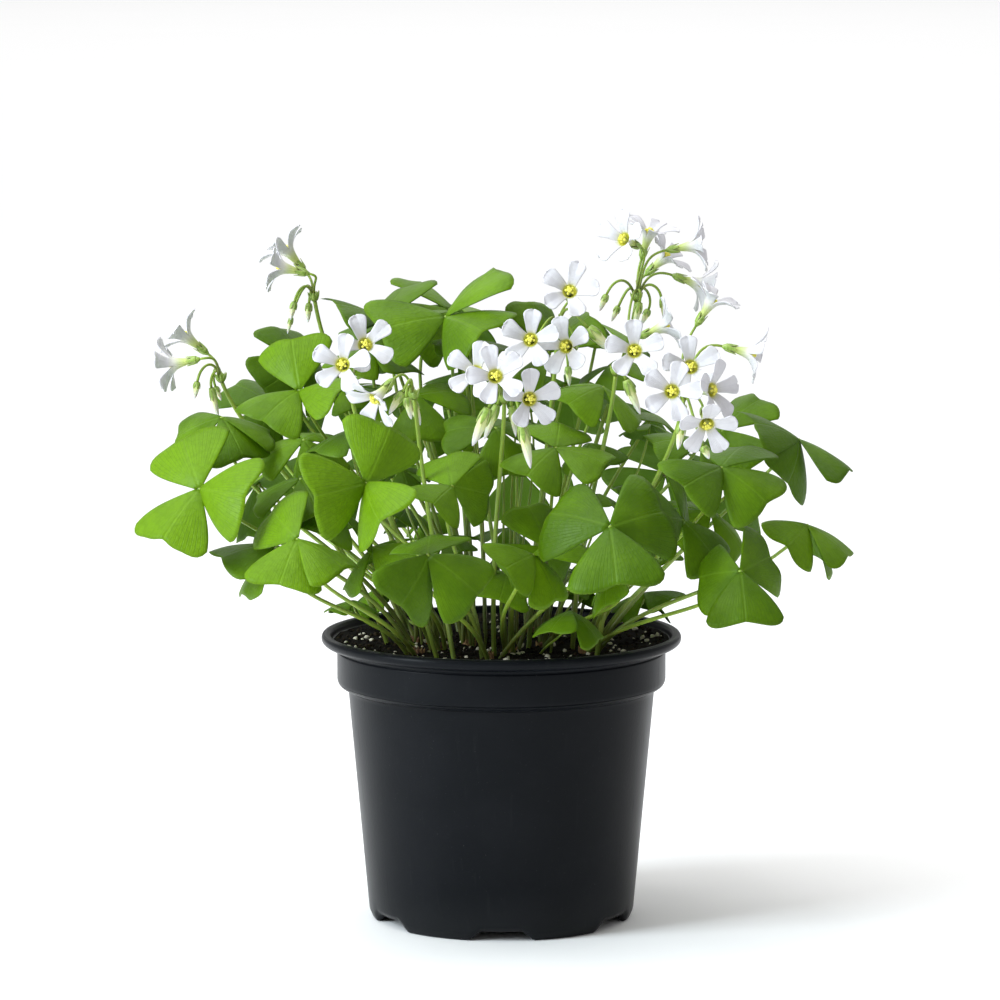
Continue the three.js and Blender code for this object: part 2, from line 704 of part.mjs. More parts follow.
// Five petals round a throat that narrows back to the calyx, as one closed body.
function corolla([place, heading, rise, turn]) {
  const throat = vec(...place);
  const direction = outlook(heading, rise);
  const u = UP.clone().cross(direction).normalize();
  const w = direction.clone().cross(u);
  const step = (2 * Math.PI) / PETAL_COUNT;
  const first = rad(turn);
  const points = [];
  const faces = [];
  const add = (angle, out, across, forward) => {
    const radial = along(vec(0, 0, 0), [u, Math.cos(angle)], [w, Math.sin(angle)]);
    const tangent = along(vec(0, 0, 0), [u, -Math.sin(angle)], [w, Math.cos(angle)]);
    return points.push(along(throat, [direction, forward], [radial, out], [tangent, across])) - 1;
  };
  const corners = [...Array(PETAL_COUNT).keys()].map((i) => first + (i + 0.5) * step);
  const deep = add(0, 0, 0, -THROAT_DEPTH);
  const mouth = corners.map((angle) => add(angle, THROAT_RADIUS, 0, 0));
  const mouthBack = corners.map((angle) => add(angle, THROAT_OUTER_RADIUS, 0, -PETAL_THICKNESS));
  const foot = corners.map((angle) => add(angle, TUBE_BASE_RADIUS, 0, -TUBE_LENGTH));
  for (let i = 0; i < PETAL_COUNT; i++) {
    const before = (i + PETAL_COUNT - 1) % PETAL_COUNT;
    const angle = first + i * step;
    const outline = [
      ...PETAL_EDGE.map(([out, half, forward]) => [out, -half, forward]),
      PETAL_TIP,
      ...[...PETAL_EDGE].reverse(),
    ];
    const front = outline.map(([out, half, forward]) => add(angle, out, half, forward));
    const back = outline.map(([out, half, forward]) => add(angle, out, half, forward - PETAL_THICKNESS));
    const rimFront = [mouth[before], ...front, mouth[i]];
    const rimBack = [mouthBack[before], ...back, mouthBack[i]];
    for (const [a, b, c] of [[0, 1, 5], [0, 5, 6], [1, 2, 4], [1, 4, 5], [2, 3, 4]]) {
      faces.push([rimFront[a], rimFront[b], rimFront[c]], [rimBack[a], rimBack[c], rimBack[b]]);
    }
    for (let j = 0; j < rimFront.length - 1; j++) {
      faces.push([rimFront[j], rimBack[j + 1], rimFront[j + 1]], [rimFront[j], rimBack[j], rimBack[j + 1]]);
    }
    faces.push([deep, mouth[before], mouth[i]]);
    faces.push([mouthBack[before], foot[before], foot[i]], [mouthBack[before], foot[i], mouthBack[i]]);
  }
  for (let i = 1; i < PETAL_COUNT - 1; i++) faces.push([foot[0], foot[i + 1], foot[i]]);
  return body(points, faces);
}

// Pot

// A wedge through the foot ring at the given angle, wide at the floor and narrow above.
function notch(angle) {
  const shape = new THREE.Shape([
    new THREE.Vector2(-NOTCH_FOOT_WIDTH / 2, -CUT_SPARE),
    new THREE.Vector2(NOTCH_FOOT_WIDTH / 2, -CUT_SPARE),
    new THREE.Vector2(NOTCH_FOOT_WIDTH / 2, 0),
    new THREE.Vector2(NOTCH_TOP_WIDTH / 2, NOTCH_HEIGHT),
    new THREE.Vector2(-NOTCH_TOP_WIDTH / 2, NOTCH_HEIGHT),
    new THREE.Vector2(-NOTCH_FOOT_WIDTH / 2, 0),
  ]);
  const depth = NOTCH_DEPTH + 2 * CUT_SPARE;
  const geometry = new THREE.ExtrudeGeometry(shape, { depth, bevelEnabled: false });
  geometry.rotateX(Math.PI / 2);
  geometry.translate(0, CUT_SPARE + NOTCH_DEPTH - WALL_FOOT_RADIUS, 0);
  geometry.rotateZ(angle);
  return solidOf(geometry);
}

function pot() {
  const collarBottom = COLLAR_BOTTOM + WALL_THICKNESS;
  const lipBottom = POT_HEIGHT - LIP_HEIGHT;
  const profile = [
    [0, FLOOR_BOTTOM],
    [FOOT_INNER_RADIUS, FLOOR_BOTTOM],
    [FOOT_INNER_RADIUS, 0],
    [FOOT_RADIUS, 0],
    [WALL_FOOT_RADIUS, FOOT_ROUNDING],
    [WALL_TOP_RADIUS, COLLAR_BOTTOM - WALL_THICKNESS],
    [COLLAR_RADIUS, collarBottom],
    [COLLAR_RADIUS, lipBottom - LIP_SLOPE],
    [RIM_RADIUS, lipBottom],
    [RIM_RADIUS, POT_HEIGHT],
    [RIM_INNER_RADIUS, POT_HEIGHT],
    [COLLAR_RADIUS - WALL_THICKNESS, lipBottom - LIP_INNER_SLOPE],
    [COLLAR_RADIUS - WALL_THICKNESS, collarBottom + COLLAR_SLOPE],
    [WALL_TOP_RADIUS - WALL_THICKNESS, COLLAR_BOTTOM - WALL_THICKNESS],
    [WALL_FOOT_RADIUS - WALL_THICKNESS, FLOOR_TOP],
    [0, FLOOR_TOP],
  ];
  let solid = solidOf(turned(profile, POT_SEGMENTS));
  for (let i = 0; i < NOTCH_COUNT; i++) solid = solid.subtract(notch((2 * Math.PI * i) / NOTCH_COUNT));
  for (let i = 0; i < DRAIN_COUNT; i++) {
    const angle = (2 * Math.PI * (i + 0.5)) / DRAIN_COUNT;
    const [x, y] = [DRAIN_CIRCLE * Math.cos(angle), DRAIN_CIRCLE * Math.sin(angle)];
    const [bottom, top] = [FLOOR_BOTTOM - CUT_SPARE, FLOOR_TOP + CUT_SPARE];
    solid = solid.subtract(cylinder(DRAIN_RADIUS, bottom, top, DRAIN_SEGMENTS, x, y));
  }
  return solid;
}

// Soil

// A repeatable draw between 0 and 1.
function draws(seed) {
  let state = seed;
  return () => {
    state = (state * 16807) % 2147483647;
    return state / 2147483647;
  };
}

// Where crowns and scapes stand: [x, y, clear radius, depth].
function standingPlaces() {
  const crowns = TUFTS.map(({ crown }) => [...crown, CROWN_RADIUS + GAP, CROWN_DEPTH + GAP]);
  const scapes = STALKS.map((row) => {
    const [below, above] = scapePath(row).getPoints(SCAPE_STEPS);
    const share = SCAPE_DEPTH / 2 / (above.z - below.z);
    const middle = below.clone().lerp(above, share);
    const lean = Math.hypot(middle.x - below.x, middle.y - below.y);
    return [middle.x, middle.y, SCAPE_RADIUS + lean + GAP, SCAPE_DEPTH + 2 * GAP];
  });
  return [...crowns, ...scapes];
}

// A grain of perlite, an uneven octahedron set half into the soil.
function perliteGrain(random, x, y) {
  const geometry = new THREE.OctahedronGeometry(PERLITE_RADIUS + PERLITE_SPREAD * random(), 0);
  geometry.scale(...PERLITE_SHAPE);
  geometry.rotateZ(2 * Math.PI * random());
  geometry.translate(x, y, SOIL_TOP + PERLITE_LIFT);
  return solidOf(geometry);
}

function soil() {
  const inner = WALL_THICKNESS + GAP + SOIL_CLEARANCE;
  const profile = [
    [0, FLOOR_TOP + GAP],
    [WALL_FOOT_RADIUS - inner, FLOOR_TOP + GAP],
    [WALL_TOP_RADIUS - inner, COLLAR_BOTTOM - WALL_THICKNESS],
    [COLLAR_RADIUS - inner - SOIL_CLEARANCE, COLLAR_BOTTOM + WALL_THICKNESS + SOIL_SHOULDER],
    [COLLAR_RADIUS - inner, SOIL_TOP],
    ...SOIL_RINGS.map((r) => [r, SOIL_TOP]),
    [0, SOIL_TOP],
  ];
  const geometry = turned(profile, SOIL_SEGMENTS);
  const place = geometry.attributes.position;
  for (let i = 0; i < place.count; i++) {
    const radius = Math.hypot(place.getX(i), place.getY(i));
    if (place.getZ(i) < SOIL_TOP - GAP || radius > SOIL_RINGS[0] + GAP || radius < GAP) continue;
    const angle = Math.atan2(place.getY(i), place.getX(i));
    const [slow, fast] = SOIL_SWELL_WAVES;
    place.setZ(i, SOIL_TOP + SOIL_SWELL * Math.sin(slow * angle + radius) * Math.cos(fast * angle));
  }
  let solid = solidOf(geometry);
  const standing = standingPlaces();
  for (const [x, y, clear, depth] of standing) {
    const radius = clear / Math.cos(Math.PI / HOLE_SEGMENTS);
    solid = solid.subtract(cylinder(radius, SOIL_TOP - depth, SOIL_TOP + HOLE_SPARE, HOLE_SEGMENTS, x, y));
  }
  const random = draws(PERLITE_SEED);
  let placed = 0;
  while (placed < PERLITE_COUNT) {
    const angle = 2 * Math.PI * random();
    const share = PERLITE_INNER_SHARE + (1 - PERLITE_INNER_SHARE) * random();
    const radius = (SOIL_RINGS[0] + PERLITE_EDGE) * Math.sqrt(share);
    const [x, y] = [radius * Math.cos(angle), radius * Math.sin(angle)];
    if (standing.some(([sx, sy]) => Math.hypot(x - sx, y - sy) < PERLITE_CLEARANCE)) continue;
    solid = solid.add(perliteGrain(random, x, y));
    placed += 1;
  }
  return solid;
}

// Materials and scene graph

function finish(color, roughness) {
  return new THREE.MeshStandardMaterial({ color, roughness, metalness: 0 });
}

const part = new THREE.Group();

function place(name, solid, material) {
  const mesh = new THREE.Mesh(geometryOf(solid), material);
  mesh.name = name;
  part.add(mesh);
}

place("pot", pot(), finish(0x23272b, 0.45));
place("soil", soil(), finish(0x2b2119, 0.95));
for (const row of TUFTS) place(`leaves_${row.name}`, tuft(row), finish(0x4c8f2a, 0.55));
for (const row of STALKS) {
  place(`stalk_${row.name}`, stalk(row), finish(0x86a552, 0.6));
  row.blooms.forEach((bloom, i) => {
    place(`corolla_${row.name}_${i + 1}`, corolla(bloom), finish(0xf6f6fa, 0.5));
  });
}

export default part;
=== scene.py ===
"""A flowering oxalis in a black nursery pot, in metres, +Z up, seen first from -Y.

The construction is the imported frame. Every piece made here replaces one of the frame's nodes with a
finer surface, worked out with numpy from the same sizes, and gives it its finish. Shapes are worked
out in millimetres and become metres when they are made into a mesh.
"""

import bpy
import numpy as np
from bpy.props import FloatProperty, FloatVectorProperty, IntProperty, PointerProperty
from bpy.types import Operator, Panel, PropertyGroup
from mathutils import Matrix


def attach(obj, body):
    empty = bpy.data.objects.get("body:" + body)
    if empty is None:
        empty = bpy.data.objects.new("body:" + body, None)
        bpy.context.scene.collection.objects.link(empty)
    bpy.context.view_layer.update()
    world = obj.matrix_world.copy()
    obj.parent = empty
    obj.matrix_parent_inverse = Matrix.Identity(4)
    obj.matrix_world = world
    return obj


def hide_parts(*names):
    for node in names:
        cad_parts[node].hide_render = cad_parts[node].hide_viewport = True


bl_info = {
    "name": "Potted oxalis",
    "version": (1, 0, 0),
    "blender": (4, 5, 0),
    "location": "3D View > Sidebar > Oxalis",
    "description": "Builds a flowering oxalis in a nursery pot on its packed frame",
    "category": "Add Mesh",
}

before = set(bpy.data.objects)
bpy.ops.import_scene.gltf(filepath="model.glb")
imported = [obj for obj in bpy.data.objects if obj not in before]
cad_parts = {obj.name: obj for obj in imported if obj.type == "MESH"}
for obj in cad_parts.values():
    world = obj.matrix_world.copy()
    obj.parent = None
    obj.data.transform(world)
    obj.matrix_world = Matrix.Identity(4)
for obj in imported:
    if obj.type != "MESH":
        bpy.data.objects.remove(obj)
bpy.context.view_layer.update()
MM = 0.001
UP = np.array([0.0, 0.0, 1.0])

# Sizes that the construction fixes, in millimetres and degrees
POT_HEIGHT = 104
RIM_RADIUS = 65
RIM_THICKNESS = 2.7
SOIL_TOP = 94
BLADE_DROOP = 24
BLADE_FOLD = 8
BLADE_LEAN = 12
BLADE_LEVEL = 0.25
LEAST_LIFT = 0.25
PETIOLE_CLEARANCE = 8
PETIOLE_SWAY = 0.1
PETIOLE_REACH = 0.34
ROOT_CIRCLE = 1.8
SCAPE_DEPTH = 8
SCAPE_SWAY = 0.05
SCAPE_SHIFT = 0.85
SCAPE_BOW = 0.25
SCAPE_SEAT = 1.2
PEDICEL_START = 0.9
PEDICEL_LEAST_RISE = 0.3
PEDICEL_SWAY = 0.2
PEDICEL_RISE = 0.45
PEDICEL_REACH = 0.4
BUD_LIFT = 2
TUBE_LENGTH = 8.4
CALYX_LENGTH = 2.8
CALYX_GAP = 0.3
PETAL_COUNT = 5

# Seeds of the random draws, to which a piece's own number is added
TUFT_SEED = 100
CROWN_SEED = 200
KNOB_SEED = 300
STALK_SEED = 400
FLOWER_SEED = 500
FLOWERS_APART = 10
YOUNG_TONE_SEED = 600

# Each tuft has a crown at (x, y) in the soil. A leaf is (hub, leaflet length, three leaflets, bend):
# a leaflet is (heading, dip, roll) in degrees, heading 0 toward the viewer and 90 to the right,
# and bend moves the lower part of the petiole sideways. Leaves are listed round the crown.
TUFTS = (
    dict(name="front", crown=(-5, -34), leaves=(
        ((-46, -101, 171), 25.5, ((-45, 5, -70), (140, -55, 55), (10, 25, 55)), (6, -12)),
        ((-17, -70, 166), 19.5, ((-170, -35, -20), (-20, 10, -35), (125, 15, 85))),
        ((-25, -106, 147), 24, ((-180, -15, -10), (-30, 45, -70), (80, 35, 50))),
        ((37, -100, 156), 27.5, ((-120, -10, -50), (125, -10, 60), (5, 40, 10)), (12, 0)),
    )),
    dict(name="front_left", crown=(-30, -25), leaves=(
        ((-105, -62, 164), 26, ((-155, -45, -40), (-45, 40, -20), (40, 0, 65))),
        ((-79, -58, 144), 23, ((-70, 50, 5), (-65, 5, -15), (170, 35, 5))),
        ((-70, -88, 150), 23, ((-145, -25, -55), (-20, 35, -10), (60, 20, 10)), (-4, -16)),
    )),
    dict(name="front_middle", crown=(3, -20), leaves=(
        ((-2, -42, 183), 20, ((-95, 0, -30), (30, 55, 0), (155, 0, 30))),
        ((2, -37, 131), 18, ((-10, 25, -20), (120, 30, 20), (-125, 0, 5))),
        ((11, -77, 143), 20, ((-30, 5, -45), (65, 55, 10), (110, -15, 15)), (-8, -6)),
        ((16, -60, 143), 19, ((-135, -60, -10), (-70, 35, -90), (140, 25, 90)), (-4, -6)),
        ((19, -59, 178), 21, ((-35, 20, -25), (70, 10, 20), (175, -25, 10)), (14, 16)),
    )),
    dict(name="right", crown=(30, -21), leaves=(
        ((82, -89, 139), 22.5, ((-130, 10, -65), (5, 45, 5), (140, -10, 65))),
        ((63, -62, 153), 21, ((75, 45, 30), (-25, -10, -70), (175, -35, 70)), (6, 6)),
        ((76, -74, 173), 23, ((-40, 10, -40), (60, 30, 40), (155, -20, 0))),
        ((107, -52, 150), 20, ((-25, 15, -45), (75, 30, 10), (125, 50, 25))),
        ((74, -34, 152), 20, ((90, 45, 25), (-160, -10, 15), (-55, 15, -35)), (4, -10)),
        ((105, -34, 178), 23, ((-55, -25, -30), (75, 25, 5), (-10, 40, -65)), (20, 0)),
    )),
    dict(name="inner_left", crown=(-22, -16), leaves=(
        ((-70, -27, 177), 19, ((-100, 20, -30), (40, 40, 20), (150, -5, 10))),
        ((-71, -40, 196), 23, ((-160, -60, -30), (-40, 20, -20), (45, -10, 30)), (6, 0)),
        ((-70, -58, 167), 20, ((-105, 20, -20), (25, 30, 15), (140, 0, 5))),
        ((-53, -48, 183), 20, ((-45, 15, 5), (75, 15, 0), (-165, 20, 0)), (4, 8)),
        ((-58, -56, 157), 20, ((-15, 20, -25), (120, 35, 20), (-130, -5, 10)), (0, 4)),
        ((-45, -51, 142), 20, ((-85, 50, -5), (45, 5, 25), (155, 0, -25)), (4, 0)),
    )),
    dict(name="inner_right", crown=(15, -9), leaves=(
        ((39, -58, 135), 18, ((-20, 40, 40), (80, -20, 5), (-175, 25, -40))),
        ((36, -29, 196), 20, ((-45, 10, -25), (85, 40, 10), (-160, 0, 15))),
        ((71, -30, 177), 21, ((-70, -5, -20), (50, 45, -10), (-180, 10, 30)), (-4, -6)),
        ((17, 5, 205), 22, ((-145, -65, 15), (95, -45, 25), (-70, 40, -10)), (-6, -2)),
    )),
    dict(name="left", crown=(-31, 2), leaves=(
        ((-90, 46, 152), 23, ((-120, 70, 0), (0, -15, 45), (120, -15, -45))),
        ((-83, 6, 186), 20, ((-125, -25, -20), (-30, 50, -40), (130, 15, 50)), (-4, 6)),
        ((-72, 3, 201), 20, ((-145, -45, 10), (-50, 25, -70), (135, 40, 70)), (18, -6)),
        ((-99, -27, 185), 21, ((-105, 20, -35), (110, 15, 15), (35, 40, 10)), (-12, 0)),
    )),
    dict(name="top", crown=(-12, -4), leaves=(
        ((-46, 2, 207), 20, ((-35, 15, -10), (55, 20, -5), (-150, 20, 5))),
        ((-20, -8, 219), 28, ((-65, 5, -40), (110, -45, 0), (30, 5, 35))),
        ((-30, -20, 192), 20, ((120, -5, 25), (-130, 5, -30), (5, 50, 10))),
    )),
    dict(name="top_back", crown=(-12, 11), leaves=(
        ((-17, 56, 217), 24, ((175, 35, 5), (-65, 0, 15), (50, 5, -20)), (2, 0)),
        ((-19, 28, 218), 24, ((-145, -30, 20), (-40, 20, -55), (130, 50, 55)), (2, 0)),
        ((-40, 34, 214), 22, ((-95, 10, -5), (25, 20, 0), (145, 15, 5)), (-4, 2)),
        ((-62, 36, 187), 22, ((-85, 45, 20), (20, -15, 20), (135, 10, -40))),
        ((-42, 7, 216), 24, ((-55, -25, -20), (160, -35, -25), (45, -10, 20)), (2, 0)),
    )),
    dict(name="back_right", crown=(28, 11), leaves=(
        ((80, 10, 176), 21, ((115, -40, 15), (-150, 25, -60), (30, 45, 65))),
        ((88, 42, 152), 23, ((160, 60, 35), (-110, -30, 35), (10, 0, -55))),
        ((56, 43, 178), 22, ((155, 50, 20), (-95, -15, 25), (20, 5, -35)), (-6, 10)),
    )),
    dict(name="back", crown=(11, 25), leaves=(
        ((36, 39, 212), 23, ((-155, 15, 10), (-40, 5, -5), (75, 25, -10)), (6, -6)),
        ((62, 92, 150), 24, ((-125, 25, 60), (-20, -40, -10), (65, 40, -55))),
        ((24, 74, 186), 23, ((160, 55, 0), (-80, -5, 35), (40, -5, -35))),
        ((6, 113, 149), 24, ((180, 60, 0), (-60, -10, 40), (55, -10, -40))),
    )),
    dict(name="back_left", crown=(-13, 28), leaves=(
        ((-22, 76, 185), 23, ((-85, 30, 40), (20, -25, 0), (125, 30, -40))),
        ((-52, 96, 150), 23, ((-75, 40, 55), (15, -40, 10), (120, 25, -60))),
    )),
)

# A flower stalk has a foot, a top and a bend as above. A bloom is (middle of the throat, heading,
# rise, turn of its petals) and a bud is (start, tip, radius).
STALKS = (
    dict(
        name="far_left", foot=(-37, -3), top=(-100, -12, 198), bend=(-10, -3),
        blooms=(
            ((-114, -8, 213), -95, 38, 0), ((-118, -20, 203), -105, -12, 20),
        ),
        buds=(
            ((-108, -20, 197), (-109, -20, 191), 1.3), ((-103.5, -12, 194), (-101, -12, 183), 1.3),
            ((-102.5, -4, 193.5), (-100.5, -4, 188.5), 1.2),
        ),
    ),
    dict(
        name="left", foot=(-34, 12), top=(-67, 0, 226), bend=(0, 0),
        blooms=(
            ((-78, 6, 243), -105, 48, 0), ((-80, -8, 237), -95, 12, 30),
        ),
        buds=(
            ((-74, -4, 224), (-75.5, -4, 217.5), 1.3), ((-69, 2, 223), (-69.5, 2, 216), 1.3),
            ((-75.5, 6, 217.5), (-77, 6, 211.5), 0.9),
        ),
    ),
    dict(
        name="inner_left", foot=(-19, -34), top=(-52, -69, 199), bend=(-13, -7),
        blooms=(
            ((-55, -74, 209), -8, 14, 10), ((-47, -64, 215), 8, 18, 40),
        ),
        buds=(),
    ),
    dict(
        name="front_left", foot=(-14, -44), top=(-30, -76, 199), bend=(-10, 10),
        blooms=(
            ((-44, -92, 198), -50, -37, 15),
        ),
        buds=(
            ((-34, -86, 200.5), (-38.5, -86, 193), 1.6), ((-32.5, -80, 198), (-31, -80, 190.5), 1.5),
            ((-31, -72, 196.5), (-28, -72, 187.5), 1.8),
        ),
    ),
    dict(
        name="front", foot=(-2, -28), top=(1, -71, 197), bend=(-3, -3),
        blooms=(
            ((-9, -78, 207), -7, 22, 5), ((-2, -92, 207), 5, 15, 36), ((10, -84, 198), 14, 6, 20),
        ),
        buds=(
            ((-4.5, -82, 194.5), (-10, -82, 181.5), 2.3), ((-1.5, -68, 194), (-6, -68, 182), 1.7),
            ((3.5, -76, 194.5), (5, -76, 184), 1.4), ((7, -84, 189.5), (10, -84, 174), 2.2),
        ),
    ),
    dict(
        name="middle", foot=(9, -13), top=(20, -28, 219), bend=(3, 0),
        blooms=(
            ((10, -48, 215), -6, 12, 12), ((22, -42, 212), -22, 8, 30), ((24, -34, 231), 0, 22, 0),
        ),
        buds=(
            ((30.5, -38, 218), (39, -38, 209.5), 2.4), ((23.5, -30, 203.5), (24, -30, 196.5), 1.3),
        ),
    ),
    dict(
        name="inner_right", foot=(25, -16), top=(40, -46, 204), bend=(0, 0),
        blooms=(
            ((46, -66, 213), 0, 14, 20),
        ),
        buds=(
            ((43.5, -52, 201), (48.5, -52, 189), 1.9),
        ),
    ),
    dict(
        name="front_right", foot=(33, -29), top=(62, -71, 193), bend=(0, -3),
        blooms=(
            ((74, -52, 230), 85, 58, 20), ((65, -81, 209), 4, 14, 25), ((58, -96, 202), 0, 8, 0),
            ((73, -92, 202), 50, 6, 10), ((70, -98, 190), 6, -28, 15), ((88, -62, 211), 85, -14, 0),
        ),
        buds=(
            ((62, -84, 189.5), (60.5, -84, 180.5), 1.7), ((69, -90, 182.5), (71, -90, 178), 1.6),
        ),
    ),
    dict(
        name="right", foot=(20, 12), top=(49, 20, 224), bend=(0, 0),
        blooms=(
            ((43, 8, 246), -40, 20, 20), ((54, 24, 248), 60, 72, 10), ((61, 34, 238), 75, 42, 0),
            ((71, 14, 243), 85, 10, 30), ((73, 28, 227), 100, -20, 12), ((60, 4, 215), 95, 22, 0),
        ),
        buds=(
            ((38, 14, 225), (35.5, 14, 219), 1.3), ((42.5, 22, 220), (40, 22, 214.5), 1.2),
            ((50, 16, 222), (48, 16, 212.5), 1.5), ((53.5, 26, 218.5), (51, 26, 213), 1.4),
            ((58, 20, 223), (59, 20, 215), 0.9),
        ),
    ),
)


# Vectors and curves


def unit(vectors):
    """Each vector divided by its length."""
    return vectors / np.linalg.norm(vectors, axis=-1, keepdims=True)


def bezier(p0, p1, p2, p3, steps):
    """Cubic Bezier curves, (1-t)^3 p0 + 3(1-t)^2 t p1 + 3(1-t)t^2 p2 + t^3 p3, one for each row of
    points."""
    t = np.linspace(0, 1, steps + 1)[None, :, None]
    p0, p1, p2, p3 = (np.asarray(p, float)[:, None, :] for p in (p0, p1, p2, p3))
    return (1 - t) ** 3 * p0 + 3 * (1 - t) ** 2 * t * p1 + 3 * (1 - t) * t * t * p2 + t**3 * p3


def outlook(heading, rise):
    """Directions with a heading, 0 toward the viewer and 90 to the right, and a rise, in degrees."""
    h, e = np.radians(heading), np.radians(rise)
    return np.stack([np.sin(h) * np.cos(e), -np.cos(h) * np.cos(e), np.sin(e)], axis=-1)


def attitudes(angles):
    """Heading, dip and roll as three directions: along a leaflet, across it and up from its face."""
    h, d, r = np.moveaxis(np.radians(angles), -1, 0)
    along = outlook(np.degrees(h), -np.degrees(d))
    level = np.stack([np.cos(h), np.sin(h), np.zeros_like(h)], axis=-1)
    up = np.cross(along, level)
    cos, sin = np.cos(r)[..., None], np.sin(r)[..., None]
    return along, level * cos + up * sin, up * cos - level * sin


def wheel(directions):
    """Two directions square to each given one: level, and the third."""
    level = unit(np.cross(UP, directions))
    return level, np.cross(directions, level)


def smooth(x, low, high):
    """0 below low, 1 above high, and t^2 (3 - 2t) between."""
    t = np.clip((x - low) / (high - low), 0, 1)
    return t * t * (3 - 2 * t)


LATTICE_SIZE = 64


def plane_noise(x, y, seed):
    """Smooth noise from -1 to 1: random numbers on a unit lattice, eased between."""
    lattice = np.random.default_rng(seed).uniform(-1, 1, (LATTICE_SIZE, LATTICE_SIZE))
    i, j = np.floor(x).astype(int), np.floor(y).astype(int)
    ex, ey = smooth(x - i, 0, 1), smooth(y - j, 0, 1)
    i0, j0 = i % LATTICE_SIZE, j % LATTICE_SIZE
    i1, j1 = (i + 1) % LATTICE_SIZE, (j + 1) % LATTICE_SIZE
    near = lattice[i0, j0] * (1 - ex) + lattice[i1, j0] * ex
    far = lattice[i0, j1] * (1 - ex) + lattice[i1, j1] * ex
    return near * (1 - ey) + far * ey


# Meshes


def grid_quads(rows, cols, wrap=False):
    """Corner numbers of a grid's quads, closed round its columns where it wraps."""
    i, j = np.meshgrid(np.arange(rows - 1), np.arange(cols if wrap else cols - 1), indexing="ij")
    k = (j + 1) % cols
    quads = [i * cols + j, (i + 1) * cols + j, (i + 1) * cols + k, i * cols + k]
    return np.stack(quads, axis=-1).reshape(-1, 4)


def border(rows, cols):
    """Point numbers round a grid's border, in the turning sense of its quads."""
    first = np.arange(rows) * cols
    last = (rows - 1) * cols + np.arange(1, cols)
    back = first[::-1][1:] + cols - 1
    return np.concatenate([first, last, back, np.arange(cols - 2, 0, -1)])


class Surface:
    """Closed bodies gathered into one piece, with a UV map, numbers at the points and materials."""

    def __init__(self):
        self.points, self.faces, self.slots, self.uvs = [], [], [], []
        self.numbers = {}
        self.count = 0

    def add(self, points, faces, slot=0, uv=None, **numbers):
        """Adds copies of one body: points (copies, n, 3), with faces as corner numbers of one copy."""
        copies, each = points.shape[:2]
        total = copies * each
        shift = self.count + each * np.arange(copies)[:, None, None]
        for corners in faces:
            moved = (corners[None] + shift).reshape(-1, corners.shape[1])
            self.faces.append(moved)
            self.slots.append(np.full(len(moved), slot))
        self.points.append(points.reshape(-1, 3))
        self.uvs.append(np.broadcast_to(uv, (copies, each, 2)).reshape(-1, 2))
        for name in set(self.numbers) | set(numbers):
            held = self.numbers.setdefault(name, [np.zeros(self.count)])
            value = np.asarray(numbers.get(name, 0.0), float)
            if value.ndim == 1:
                value = value[:, None]
            held.append(np.broadcast_to(value, (copies, each)).ravel())
        self.count += total

    def piece(self, name, materials, node, slot):
        """Makes the mesh, in metres, which rides on the root body and replaces the node."""
        corners = np.concatenate([f.ravel() for f in self.faces])
        sizes = np.concatenate([np.full(len(f), f.shape[1]) for f in self.faces])
        mesh = bpy.data.meshes.new(name)
        mesh.vertices.add(self.count)
        mesh.vertices.foreach_set("co", np.concatenate(self.points).ravel() * MM)
        mesh.loops.add(len(corners))
        mesh.loops.foreach_set("vertex_index", corners)
        mesh.polygons.add(len(sizes))
        mesh.polygons.foreach_set("loop_start", np.cumsum(sizes) - sizes)
        mesh.polygons.foreach_set("material_index", np.concatenate(self.slots))
        mesh.polygons.foreach_set("use_smooth", np.ones(len(sizes), bool))
        uv = mesh.uv_layers.new(name="UVMap")
        uv.uv.foreach_set("vector", np.concatenate(self.uvs)[corners].ravel())
        for key, values in self.numbers.items():
            attribute = mesh.attributes.new(key, "FLOAT", "POINT")
            attribute.data.foreach_set("value", np.concatenate(values))
        mesh.update(calc_edges=True)
        for material in materials:
            mesh.materials.append(material)
        piece = bpy.data.objects.new(name, mesh)
        bpy.context.scene.collection.objects.link(piece)
        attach(piece, "root")
        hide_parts(node)
        return piece


def add_sheets(surface, top, bottom, uv, slot=0, turned=False, **numbers):
    """Adds thin closed bodies: a grid of points above, one below and a strip round their borders.
    The number "side" is 0 on the upper face and 1 on the lower, or the reverse where turned."""
    copies, rows, cols = top.shape[:3]
    size = rows * cols
    points = np.concatenate([top.reshape(copies, size, 3), bottom.reshape(copies, size, 3)], axis=1)
    above = grid_quads(rows, cols)
    loop = border(rows, cols)
    ahead = np.roll(loop, -1)
    rim = np.stack([loop, loop + size, ahead + size, ahead], axis=-1)
    side = np.repeat([0.0, 1.0], size)
    side = np.abs(side - np.reshape(np.broadcast_to(turned, copies), (copies, 1)))
    both = np.tile(uv.reshape(-1, 2), (2, 1))
    surface.add(points, [above, above[:, ::-1] + size, rim], slot, both, side=side, **numbers)


LEAST_BEND = 0.05
SPARE_WAY = (0.31, 0.87, 0.38)


